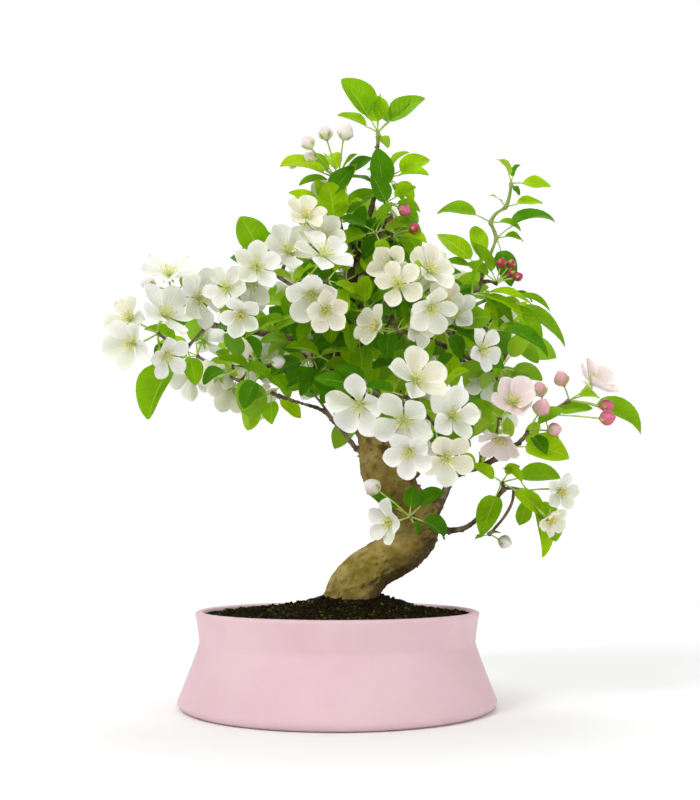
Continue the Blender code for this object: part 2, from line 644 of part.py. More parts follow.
def tube(name, points, radii, collection, resolution=2):
    """A limb: a tapering tube with closed ends, as a mesh."""
    curve = bpy.data.curves.new(name, "CURVE")
    curve.dimensions = "3D"
    curve.bevel_depth = 1.0
    curve.bevel_resolution = resolution
    curve.use_fill_caps = True
    spline = curve.splines.new("POLY")
    spline.points.add(len(points) - 1)
    for point, place, radius in zip(spline.points, points, radii):
        point.co = (*place, 1.0)
        point.radius = radius
    guide = add_object(name, curve, collection)
    graph = bpy.context.evaluated_depsgraph_get()
    mesh = bpy.data.meshes.new_from_object(guide.evaluated_get(graph))
    bpy.data.objects.remove(guide)
    work = bmesh.new()
    work.from_mesh(mesh)
    bmesh.ops.remove_doubles(work, verts=work.verts, dist=1e-6)
    bmesh.ops.recalc_face_normals(work, faces=work.faces)
    work.to_mesh(mesh)
    work.free()
    return add_object(name, mesh, collection)


def boolean(target, other, operation, solver="EXACT"):
    """Joins or cuts the target by an object or a collection, and applies it."""
    modifier = target.modifiers.new("join", "BOOLEAN")
    modifier.operation = operation
    modifier.solver = solver
    if isinstance(other, bpy.types.Collection):
        modifier.operand_type = "COLLECTION"
        modifier.collection = other
    else:
        modifier.object = other
    graph = bpy.context.evaluated_depsgraph_get()
    joined = bpy.data.meshes.new_from_object(target.evaluated_get(graph))
    target.modifiers.remove(modifier)
    target.data = joined


def discard(objects):
    """Removes helper objects."""
    for helper in list(objects):
        bpy.data.objects.remove(helper)


def ring_mesh(name, rings, tip=None, tail=None):
    """A loft through rings of equally many points, closed by a point or a face at each end."""
    work = bmesh.new()
    loops = [[work.verts.new(p) for p in ring] for ring in rings]
    count = len(loops[0])
    for low, high in zip(loops, loops[1:]):
        for i in range(count):
            j = (i + 1) % count
            work.faces.new((low[i], low[j], high[j], high[i]))
    for loop, point, flip in ((loops[0], tail, True), (loops[-1], tip, False)):
        if point is None:
            work.faces.new(loop[::-1] if flip else loop)
            continue
        apex = work.verts.new(point)
        for i in range(count):
            j = (i + 1) % count
            work.faces.new((loop[j], loop[i], apex) if flip else (loop[i], loop[j], apex))
    bmesh.ops.triangulate(work, faces=work.faces)
    bmesh.ops.recalc_face_normals(work, faces=work.faces)
    mesh = bpy.data.meshes.new(name)
    work.to_mesh(mesh)
    work.free()
    return mesh


def ring_at(centre, axis, radius, sides, turn=0.0):
    """A regular ring of points round an axis."""
    axis = unit(np.array(axis))
    first = unit(np.cross(axis, (0.23, 0.41, 0.88) if abs(axis[2]) < 0.9 else (1.0, 0.2, 0.1)))
    second = np.cross(axis, first)
    return [centre + radius * (math.cos(turn + math.tau * i / sides) * first
                               + math.sin(turn + math.tau * i / sides) * second)
            for i in range(sides)]


def twig_mesh(name, twig, knob=True):
    """A three-sided twig that ends in the knob in which the stalks are rooted."""
    rings = []
    for i, (point, radius) in enumerate(zip(twig.path, twig.radii)):
        before, after = twig.path[max(i - 1, 0)], twig.path[min(i + 1, len(twig.path) - 1)]
        rings.append(ring_at(point, after - before, radius, 3))
    if not knob:
        return ring_mesh(name, rings)
    along = unit(twig.path[-1] - twig.path[-2])
    rings[-1] = ring_at(twig.path[-1] - along * KNOB_RADIUS, along, twig.radii[-1], 3)
    rings.append(ring_at(twig.path[-1], along, KNOB_RADIUS * 1.25, 3))
    return ring_mesh(name, rings, tip=twig.path[-1] + along * KNOB_RADIUS)


def buried(root, toward):
    """The pointed start of a stalk, beyond the middle of its knob."""
    return root - unit(toward - root) * 0.7 * KNOB_RADIUS


def leaf_mesh(name, leaf):
    """A leaf and its stalk in one loft of three-point sections."""
    across = np.cross(leaf.normal, leaf.heading)
    base = leaf.root + leaf.heading * leaf.stalk
    rings = [[base + STALK_RADIUS * across, base - STALK_RADIUS * across,
              base - 1.4 * STALK_RADIUS * leaf.normal]]
    shares, side = ((0.28, 0.66), 1.0) if leaf.length > LONG_LEAF else ((0.42,), KITE_WIDENING)
    for share in shares:
        rings.append([leaf_point(leaf, share, side), leaf_point(leaf, share, -side),
                      leaf_point(leaf, share, 0, LEAF_KEEL)])
    return ring_mesh(name, rings, tip=leaf_point(leaf, 0.999, 0), tail=buried(leaf.root, base))


def blossom_mesh(name, blossom):
    """A stalk that opens into a five-lobed dish for the petals."""
    rim = []
    for notch, left, right in zip(blossom_rim(blossom, (-36,), 0.5),
                                  blossom_rim(blossom, (-19,), 0.96),
                                  blossom_rim(blossom, (19,), 0.96)):
        rim += [notch, left, right]
    collar = blossom.centre - blossom.normal * BLOSSOM_THICKNESS
    first = unit(rim[1] - blossom.centre)
    second = np.cross(blossom.normal, first)
    work = bmesh.new()
    rim = [work.verts.new(p) for p in rim]
    neck = [work.verts.new(collar + STALK_RADIUS * 1.1 * (
        math.cos(math.tau * (k + 0.33) / 3) * first
        + math.sin(math.tau * (k + 0.33) / 3) * second)) for k in range(3)]
    top = work.verts.new(blossom.centre)
    root = work.verts.new(buried(blossom.root, blossom.centre))
    for i in range(15):
        work.faces.new((rim[i], rim[(i + 1) % 15], top))
        work.faces.new((rim[(i + 1) % 15], rim[i], neck[i // 5]))
    for k in range(3):
        after = (k + 1) % 3
        work.faces.new((rim[(5 * k + 5) % 15], neck[k], neck[after]))
        work.faces.new((neck[after], neck[k], root))
    bmesh.ops.recalc_face_normals(work, faces=work.faces)
    mesh = bpy.data.meshes.new(name)
    work.to_mesh(mesh)
    work.free()
    return mesh


def bud_mesh(name, bud):
    """A stalk that swells into a closed bud."""
    low = unit(bud.centre - bud.root)
    rings = [ring_at(bud.centre, low + bud.axis, STALK_RADIUS * 1.3, 4),
             ring_at(bud.centre + bud.axis * bud.length * 0.5, bud.axis, bud.radius, 4)]
    return ring_mesh(name, rings, tip=bud.centre + bud.axis * bud.length,
                     tail=buried(bud.root, bud.centre))


def keep_main_body(mesh):
    """Drops loose scraps and sealed hollows, which are the shells other than the largest."""
    work = bmesh.new()
    work.from_mesh(mesh)
    unseen, shells = set(work.faces), []
    while unseen:
        front, shell = [unseen.pop()], []
        while front:
            face = front.pop()
            shell.append(face)
            for edge in face.edges:
                for beside in edge.link_faces:
                    if beside in unseen:
                        unseen.remove(beside)
                        front.append(beside)
        shells.append(shell)
    shells.sort(key=len)
    scraps = [face for shell in shells[:-1] for face in shell]
    if scraps:
        bmesh.ops.delete(work, geom=scraps, context="FACES")
    work.to_mesh(mesh)
    work.free()


def build_mass(mass, organs, collection, finish):
    """One foliage mass as one fused body."""
    twigs, leaves, blossoms, buds = organs
    pieces = bpy.data.collections.new(mass.name + "_pieces")
    bpy.context.scene.collection.children.link(pieces)
    for i, twig in enumerate(twigs[1:]):
        add_object(f"twig{i}", twig_mesh("twig", twig), pieces)
    for i, leaf in enumerate(leaves):
        add_object(f"leaf{i}", leaf_mesh("leaf", leaf), pieces)
    for i, blossom in enumerate(blossoms):
        add_object(f"blossom{i}", blossom_mesh("blossom", blossom), pieces)
    for i, bud in enumerate(buds):
        add_object(f"bud{i}", bud_mesh("bud", bud), pieces)
    body = add_object(mass.name, twig_mesh(mass.name, twigs[0], knob=False), collection)
    boolean(body, pieces, "UNION", "MANIFOLD")
    discard(pieces.objects)
    bpy.data.collections.remove(pieces)
    keep_main_body(body.data)
    body.data.materials.clear()
    body.data.materials.append(finish)


def build_limb(limb, collection, cutters, finish):
    """A trunk or bough, cut clear of the limbs it grows from."""
    points, radii = limb_line(limb)
    resolution = TRUNK_SIDES_RESOLUTION if limb.name == "trunk" else 1
    body = tube(limb.name, points, radii, collection, resolution)
    if limb.name == "trunk":
        add_root_flare(body)
    for parent in limb.parents:
        boolean(body, cutters[parent], "DIFFERENCE")
    keep_main_body(body.data)
    body.data.materials.clear()
    body.data.materials.append(finish)
    body.data.shade_smooth()
    body.data.set_sharp_from_angle(angle=math.radians(40))


def add_root_flare(trunk, extra=0.0):
    """Spreading roots at the trunk's foot, and the flat cut under them."""
    centre = Vector(LIMBS[0].points[1]) * MM
    for turn, reach, radius in ROOT_FLARES:
        outward = Vector((math.cos(math.radians(turn)), math.sin(math.radians(turn)), 0))
        low = Vector((centre.x, centre.y, TRUNK_FOOT_HEIGHT - 0.004)) + outward * reach * MM
        high = Vector((centre.x, centre.y, ROOT_FLARE_HEIGHT)) + outward * 0.004
        middle = (low + high) / 2 - outward * 0.001
        root = tube("root", [low, middle, high],
                    [radius * MM + extra, radius * MM + extra, radius * MM * 0.8 + extra],
                    trunk.users_collection[0], 1)
        boolean(trunk, root, "UNION")
        discard([root])
    ground = box_below(TRUNK_FOOT_HEIGHT - extra)
    boolean(trunk, ground, "DIFFERENCE")
    discard([ground])


def box_below(height):
    """A block whose top lies at this height."""
    side = 0.3
    bpy.ops.mesh.primitive_cube_add(size=side, location=(0, 0, height - side / 2))
    return bpy.context.object


def turned(name, profile, collection, steps):
    """A solid of revolution from a closed profile of (radius, height), top of the outside first."""
    mesh = bpy.data.meshes.new(name)
    edges = [(i, i + 1) for i in range(len(profile) - 1)]
    mesh.from_pydata([(r, 0, z) for r, z in profile], edges, [])
    body = add_object(name, mesh, collection)
    screw = body.modifiers.new("turn", "SCREW")
    screw.steps = screw.render_steps = steps
    screw.use_merge_vertices = True
    screw.merge_threshold = 1e-5
    graph = bpy.context.evaluated_depsgraph_get()
    body.data = bpy.data.meshes.new_from_object(body.evaluated_get(graph))
    body.modifiers.remove(screw)
    work = bmesh.new()
    work.from_mesh(body.data)
    bmesh.ops.remove_doubles(work, verts=work.verts, dist=1e-6)
    bmesh.ops.recalc_face_normals(work, faces=work.faces)
    work.to_mesh(body.data)
    work.free()
    return body


def inner_radius(height):
    """The radius of the pot's inside at a height."""
    if height > POT_NECK_HEIGHT:
        share = (height - POT_NECK_HEIGHT) / (POT_HEIGHT - POT_NECK_HEIGHT)
        return POT_NECK_RADIUS + (POT_RIM_RADIUS - POT_NECK_RADIUS) * share - POT_WALL
    share = (height - POT_BASE_HEIGHT) / (POT_NECK_HEIGHT - POT_BASE_HEIGHT)
    return POT_BASE_RADIUS + (POT_NECK_RADIUS - POT_BASE_RADIUS) * share - POT_WALL


def build_pot(collection, finish):
    """The round pot, open at the top and closed below."""
    rim_round = 0.0012
    profile = [
        (0, POT_FLOOR), (inner_radius(POT_FLOOR), POT_FLOOR),
        (inner_radius(POT_NECK_HEIGHT), POT_NECK_HEIGHT),
        (inner_radius(POT_HEIGHT), POT_HEIGHT - rim_round),
        (inner_radius(POT_HEIGHT) + rim_round, POT_HEIGHT),
        (POT_RIM_RADIUS - rim_round, POT_HEIGHT), (POT_RIM_RADIUS, POT_HEIGHT - rim_round),
        (POT_NECK_RADIUS + 0.0006, POT_NECK_HEIGHT + 0.006),
        (POT_NECK_RADIUS + 0.0004, POT_NECK_HEIGHT - 0.003),
        (POT_BASE_RADIUS - 0.0004, POT_BASE_HEIGHT + 0.004),
        (POT_BASE_RADIUS, POT_BASE_HEIGHT), (POT_BASE_RADIUS - 0.0011, 0.0013),
        (POT_FOOT_RADIUS, 0), (0, 0),
    ]
    pot = turned("pot", profile, collection, POT_STEPS)
    pot.data.materials.append(finish)
    pot.data.shade_smooth()
    pot.data.set_sharp_from_angle(angle=math.radians(50))


def soil_height(x, y):
    """The height of the soil's surface."""
    edge_radius = inner_radius(SOIL_EDGE_HEIGHT)
    share = min(math.hypot(x, y) / edge_radius, 1.0)
    aside = math.hypot(x - SOIL_HUMP_X, y) / SOIL_HUMP_REACH
    hump = SOIL_HUMP * math.exp(-aside * aside)
    return SOIL_EDGE_HEIGHT + (SOIL_RISE + hump) * (1 - share * share)


def build_soil(collection, trunk_cutter, finish):
    """The soil: a mound that fills the pot and seats the trunk."""
    low, edge = POT_FLOOR + GAP, SOIL_EDGE_HEIGHT
    edge_radius = inner_radius(edge) - GAP
    profile = [(edge_radius * share, edge) for share in SOIL_RING_SHARES]
    profile += [(inner_radius(POT_NECK_HEIGHT) - GAP * 1.1, POT_NECK_HEIGHT),
                (inner_radius(low) - GAP * 1.1, low), (0, low)]
    soil = turned("soil", profile, collection, POT_STEPS)
    for point in soil.data.vertices:
        if point.co.z > edge - 1e-5:
            point.co.z = soil_height(point.co.x, point.co.y)
    boolean(soil, trunk_cutter, "DIFFERENCE")
    keep_main_body(soil.data)
    soil.data.materials.clear()
    soil.data.materials.append(finish)


def grown_tube(name, limb, collection, extra):
    """The limb with a skin of clearance round it, to cut its neighbours with."""
    points, radii = limb_line(limb)
    first, last = (points[0] - points[1]).normalized(), (points[-1] - points[-2]).normalized()
    points = [points[0] + first * extra] + points[1:-1] + [points[-1] + last * extra]
    resolution = TRUNK_SIDES_RESOLUTION if limb.name == "trunk" else 1
    return tube(name, points, [r + extra for r in radii], collection, resolution)


def main():
    """Builds every part of the bonsai."""
    for old in list(bpy.data.objects):
        bpy.data.objects.remove(old)
    bonsai = bpy.data.collections.new("apple_bonsai")
    helpers = bpy.data.collections.new("cutters")
    bpy.context.scene.collection.children.link(bonsai)
    bpy.context.scene.collection.children.link(helpers)

    bark = material("bark", (0.30, 0.22, 0.12), 0.75)
    glaze = material("pink_ceramic", (0.84, 0.62, 0.66), 0.45)
    earth = material("earth", (0.045, 0.032, 0.020), 0.95)
    leafage = material("blossom_and_leaf", (0.55, 0.66, 0.36), 0.6)

    build_pot(bonsai, glaze)
    cutters = {}
    for limb in LIMBS:
        if limb.name == "trunk" or any(limb.name in other.parents for other in LIMBS):
            cutters[limb.name] = grown_tube(limb.name + "_cutter", limb, helpers, GAP)
    for limb in LIMBS:
        build_limb(limb, bonsai, cutters, bark)
    foot = cutters["trunk"]
    add_root_flare(foot, GAP)
    build_soil(bonsai, foot, earth)
    discard(helpers.objects)
    crown = grow_crown()
    for mass in MASSES:
        build_mass(mass, crown[mass.name], bonsai, leafage)


main()
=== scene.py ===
"""Looks of an apple blossom bonsai in a round pink pot.

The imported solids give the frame. The crown is grown again by the rule of the solids, from the same
named plan, and carried on to finer spurs within the same reach. Lengths are in metres unless a name
or a docstring says otherwise, +Z is up, and the crown faces -Y.
"""

import logging
from contextlib import contextmanager
from dataclasses import dataclass, field, replace
from enum import Enum
from math import cos, exp, hypot, pi, radians, sin, sqrt, tan, tau
from random import Random
from typing import Callable, Iterable, Iterator, Sequence

import bmesh
import bpy
import numpy as np
from bpy.types import Material, Node, NodeSocket, NodeTree, Object
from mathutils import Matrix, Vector, noise
from numpy.linalg import norm


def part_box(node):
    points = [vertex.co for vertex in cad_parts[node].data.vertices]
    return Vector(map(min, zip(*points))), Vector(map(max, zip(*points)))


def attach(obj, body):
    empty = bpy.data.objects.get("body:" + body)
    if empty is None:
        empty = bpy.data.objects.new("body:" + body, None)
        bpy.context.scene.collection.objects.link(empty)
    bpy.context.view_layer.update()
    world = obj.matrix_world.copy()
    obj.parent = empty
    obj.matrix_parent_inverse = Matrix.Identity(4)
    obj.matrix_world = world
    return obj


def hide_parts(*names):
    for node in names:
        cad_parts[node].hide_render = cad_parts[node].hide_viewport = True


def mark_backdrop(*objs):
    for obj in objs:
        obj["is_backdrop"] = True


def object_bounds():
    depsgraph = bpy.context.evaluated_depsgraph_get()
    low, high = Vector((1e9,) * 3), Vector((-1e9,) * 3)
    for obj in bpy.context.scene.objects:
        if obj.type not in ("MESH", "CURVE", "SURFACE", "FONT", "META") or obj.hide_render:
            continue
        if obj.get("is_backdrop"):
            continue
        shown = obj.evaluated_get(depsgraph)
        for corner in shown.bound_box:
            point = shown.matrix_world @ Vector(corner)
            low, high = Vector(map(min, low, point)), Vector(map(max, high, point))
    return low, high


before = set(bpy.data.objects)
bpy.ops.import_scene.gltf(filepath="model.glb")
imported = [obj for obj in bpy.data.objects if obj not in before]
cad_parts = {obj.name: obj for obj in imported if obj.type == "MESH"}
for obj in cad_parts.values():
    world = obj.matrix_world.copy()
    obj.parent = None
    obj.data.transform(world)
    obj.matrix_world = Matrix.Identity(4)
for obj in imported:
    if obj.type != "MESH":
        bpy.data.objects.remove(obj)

LOG = logging.getLogger("bonsai")
MM = 0.001
GAP = 0.0003

Array = np.ndarray
Triple = tuple[float, float, float]
Colour = tuple[float, float, float]
Points = tuple[tuple[float, float], ...]
Feed = float | Colour | NodeSocket

# Rules of the solids, which the dressed parts keep to
POINTS_PER_SPAN = 2
TWIG_RADIUS = 0.0009
STALK_SPREAD = cos(radians(12))
LEAF_WIDTH_SHARE = 0.66
STALK_SHARE = 0.42
BLOSSOM_RADIUS = 0.0185
BLOSSOM_CUP = radians(24)
BUD_LENGTH = 0.01
BUD_RADIUS = 0.0047
BUD_ROOM = 0.0056

# Rules that keep the masses apart, as in the solids
SPACE_GAP = 0.0015
LIMB_CLEARANCE = 0.0009
TWIG_CLEARANCE = 0.0034
LEAST_TO_OTHERS = 0.0026
PETAL_ROOM = 0.16
GOLDEN_ANGLE = 137.5

# Leafy spurs straight on a limb: the limb, the mass that they belong to, the stretch of the limb
# as shares of its length, and how many there are
LIMB_SPURS = (
    ("trunk", "foliage_centre", 0.66, 0.97, 9),
    ("bough_leader", "foliage_top_right", 0.05, 0.25, 2),
    ("bough_upper_left", "foliage_upper_left", 0.3, 0.9, 3),
    ("bough_left", "foliage_left", 0.3, 0.9, 2),
    ("bough_centre", "foliage_centre", 0.3, 0.9, 3),
    ("bough_top_left", "foliage_top_left", 0.2, 0.9, 3),
    ("bough_top_right", "foliage_top_right", 0.2, 0.9, 2),
    ("bough_right_high", "foliage_right_top", 0.2, 0.8, 3),
    ("bough_right_fork", "foliage_right_mid", 0.3, 0.9, 2),
    ("bough_far_left", "foliage_far_left", 0.1, 0.3, 2),
    ("bough_back_left", "foliage_back_left", 0.4, 0.9, 2),
    ("bough_back_right", "foliage_back_right", 0.3, 0.9, 3),
    ("bough_back_top", "foliage_back_top", 0.3, 0.9, 2),
    ("bough_back_low", "foliage_back_low", 0.3, 0.9, 2))

FRONT, BACK = (0.0, -1.0, 0.0), (0.0, 1.0, 0.0)


@dataclass(frozen=True)
class Limb:
    """A trunk or bough: points in millimetres from the root end to the tip, and radii."""

    name: str
    points: tuple[Triple, ...]
    radii: tuple[float, ...]


@dataclass(frozen=True)
class Spur:
    """A short shoot and its organs, each given by a clock angle and a length in millimetres."""

    at: Triple
    leaves: tuple[tuple[float, float], ...] = ()
    blossoms: tuple[tuple[float, float], ...] = ()
    buds: tuple[tuple[float, float], ...] = ()


@dataclass(frozen=True)
class Filling:
    """Spurs set by rule in an egg-shaped room, and how many organs each of them carries."""

    count: int
    centre: Triple
    radii: Triple
    leaves: int
    blossoms: int
    buds: int


class LeafTint(Enum):
    """The plain tints that leaves are dealt."""

    BRIGHT = 0
    MIDDLE = 1
    DEEP = 2
    YOUNG = 3
    YELLOW = 4


class PetalTint(Enum):
    """The plain tints of petals."""

    WHITE = 0
    CREAM = 1
    BLUSH = 2
    SHADE = 3


class BudTint(Enum):
    """The plain tints of buds."""

    PALE = 0
    PINK = 1
    ROSE = 2
    DEEP = 3


class StalkTint(Enum):
    """The plain tints of stalks, calyxes and young shoots."""

    GREEN = 0
    REDDISH = 1


@dataclass(frozen=True)
class Look:
    """How a mass is dressed.

    Fine says how many finer leaves and blossoms each spur carries, leaves how often bright,
    middle, deep and yellow ones are dealt, and shape how the leaves differ from the common ones
    in length, width and curl. The deep and bright shares are partly painted shade and light: deep
    leaves are dealt most to the inner masses by the trunk, bright ones more to the top and far
    right.
    Cream is the share of cream blossoms, and twigs that end above young_above are young and green.
    """

    fine: tuple[int, int] = (4, 1)
    leaves: tuple[int, ...] = (48, 30, 12, 10)
    shape: Triple = (1.0, 1.0, 0.0)
    blossom_size: float = 1.0
    cream: float = 0.3
    petals: PetalTint = PetalTint.WHITE
    buds: BudTint = BudTint.PALE
    bud_size: float = 1.0
    young_above: float = 1.0


# Deep leaves, most in the inner masses by the trunk, are partly painted shade and partly the leaves'
# own darker tone.
LOOKS = {
    "foliage_top": Look(fine=(0, 0), leaves=(55, 40, 5, 0), shape=(1.04, 1.32, -0.1),
        young_above=0.374),
    "foliage_top_left": Look(fine=(2, 1), leaves=(35, 35, 20, 10), shape=(1.05, 1.1, 0.0),
        blossom_size=0.85),
    "foliage_top_right": Look(fine=(3, 0), leaves=(35, 40, 20, 5), buds=BudTint.ROSE, bud_size=0.8,
        young_above=0.34),
    "foliage_upper_left": Look(fine=(1, 2), leaves=(30, 25, 25, 20), blossom_size=1.06),
    "foliage_far_left": Look(fine=(0, 2), leaves=(0, 45, 55, 0), shape=(1.04, 1.18, 0.0),
        blossom_size=1.06, cream=0.1),
    "foliage_left": Look(fine=(1, 1), leaves=(20, 50, 30, 0), cream=0.5),
    "foliage_low_left": Look(fine=(0, 0), leaves=(30, 50, 20, 0)),
    "foliage_centre": Look(fine=(2, 1), leaves=(20, 35, 45, 0), cream=0.6),
    "foliage_front_low": Look(fine=(0, 2), leaves=(20, 30, 50, 0), blossom_size=1.12, cream=0.15),
    "foliage_right_top": Look(fine=(1, 0), leaves=(25, 45, 30, 0), shape=(1.08, 0.82, 0.2),
        buds=BudTint.DEEP, bud_size=0.72, young_above=0.3),
    "foliage_right_mid": Look(fine=(2, 0), shape=(1.28, 0.7, 0.6), young_above=0.25),
    "foliage_far_right": Look(fine=(0, 0), leaves=(70, 20, 0, 10), shape=(1.0, 0.8, 0.1),
        petals=PetalTint.BLUSH, buds=BudTint.PINK, bud_size=0.9),
    "foliage_right_blossom": Look(fine=(1, 1), petals=PetalTint.BLUSH, buds=BudTint.PINK),
    "foliage_right_inner": Look(fine=(2, 0), leaves=(20, 30, 50, 0), buds=BudTint.PINK),
    "foliage_right_low": Look(fine=(1, 0), leaves=(35, 40, 25, 0), shape=(1.06, 0.84, 0.2),
        blossom_size=0.86, cream=0.7),
    "foliage_trunk_spur": Look(fine=(0, 0), leaves=(0, 25, 75, 0), blossom_size=0.82),
    "foliage_back_left": Look(fine=(2, 1), leaves=(25, 35, 35, 5)),
    "foliage_back_top": Look(leaves=(30, 40, 30, 0)),
    "foliage_back_right": Look(leaves=(35, 35, 25, 5)),
    "foliage_back_far_left": Look(fine=(1, 1))}


@dataclass(frozen=True)
class Mass:
    """One foliage mass at the tip of its limb."""

    name: str
    limb: str
    facing: Triple
    seed: int
    spurs: tuple[Spur, ...] = ()
    fillings: tuple[Filling, ...] = ()

    @property
    def look(self) -> Look:
        """How the mass is dressed."""
        return LOOKS.get(self.name, Look())


# Points are in millimetres and run from the root end to the tip. Radii, in millimetres too, are
# given at each point of the trunk, and at the two ends of a bough.
LIMBS: tuple[Limb, ...] = (
    Limb("trunk", ((5, -6, 50), (8, -5, 64), (12, -5, 75), (22, -3, 85), (36, -1, 93), (47, 0, 101),
        (52, 0, 111), (47, 0, 123), (38, 0, 134), (29, 1, 146), (25, 2, 157), (22, 2, 168), (16, 2,
        181), (10, 2, 195), (5, 2, 207), (2, 2, 218), (3, 3, 238), (8, 3, 268), (12, 3, 299)),
        (17.5, 17, 16.2, 14.6, 14.2, 14.4, 14.2, 13.4, 14.2, 13.4, 12.0, 9.4, 8.4, 8.4, 8.2, 7.8,
        6.4, 4.6, 3.2)),
    Limb("bough_leader", ((11, 3, 291), (14, 3, 307), (21, 2, 321), (25, 0, 338), (26, 0, 354),
        (27, 0, 372)), (2.6, 1.3)),
    Limb("bough_top_left", ((8, 3, 286), (4, -3, 300), (1, -8, 315)), (2.0, 1.3)),
    Limb("bough_top_right", ((10, 3, 280), (19, -6, 292), (27, -11, 302)), (2.2, 1.4)),
    Limb("bough_upper_left", ((3, 3, 244), (-9, -14, 247), (-19, -26, 253)), (3.2, 2.0)),
    Limb("bough_far_left", ((2, 2, 228), (-22, -5, 232), (-48, -9, 237), (-68, -20, 238),
        (-76, -27, 238)), (3.4, 1.6)),
    Limb("bough_left", ((0, 2, 209), (-28, -5, 215), (-52, -10, 215)), (2.6, 1.5)),
    Limb("bough_low_left", ((21, 0, 154), (12, -3, 162), (1, -6, 175), (-10, -8, 186),
        (-25, -10, 191), (-35, -12, 194)), (1.9, 1.2)),
    Limb("bough_centre", ((4, 3, 236), (16, -18, 242), (28, -32, 249)), (3.2, 2.0)),
    Limb("bough_front_low", ((11, 2, 188), (19, -20, 187), (30, -38, 186)), (3.2, 2.0)),
    Limb("bough_right_high", ((3, 3, 222), (25, 8, 236), (50, 6, 245), (75, 3, 251), (90, 1, 264)),
        (3.6, 2.0)),
    Limb("bough_right_fork", ((62, 5, 248), (76, -5, 246), (86, -10, 248)), (1.9, 1.5)),
    Limb("bough_right_mid", ((50, 0, 114), (62, 0, 121), (68, 0, 130), (76, -2, 144), (95, -6, 151),
        (112, -9, 161), (124, -14, 172)), (3.8, 1.4)),
    Limb("bough_right_inner", ((80, -3, 146), (77, -4, 153), (77, -5, 157)), (1.5, 1.2)),
    Limb("bough_right_blossom", ((92, -5, 149), (93, -14, 158), (98, -22, 164)), (1.8, 1.4)),
    Limb("bough_right_low", ((52, 0, 112), (77, -3, 109), (92, -6, 118), (104, -10, 132)),
        (2.4, 1.4)),
    Limb("bough_back_left", ((2, 3, 220), (-12, 24, 233), (-28, 42, 244)), (3.2, 1.9)),
    Limb("bough_back_top", ((7, 3, 258), (11, 20, 274), (11, 32, 284)), (2.6, 1.6)),
    Limb("bough_back_right", ((4, 3, 244), (30, 27, 250), (52, 42, 254)), (3.2, 1.9)),
    Limb("bough_back_low", ((15, 2, 181), (26, 26, 190), (34, 42, 195)), (2.8, 1.7)),
    Limb("bough_back_far_left", ((2, 2, 202), (-26, 16, 214), (-56, 25, 220)), (2.8, 1.6)),
    Limb("bough_back_far_right", ((45, 6, 244), (72, 22, 235), (92, 29, 226)), (2.2, 1.5)))

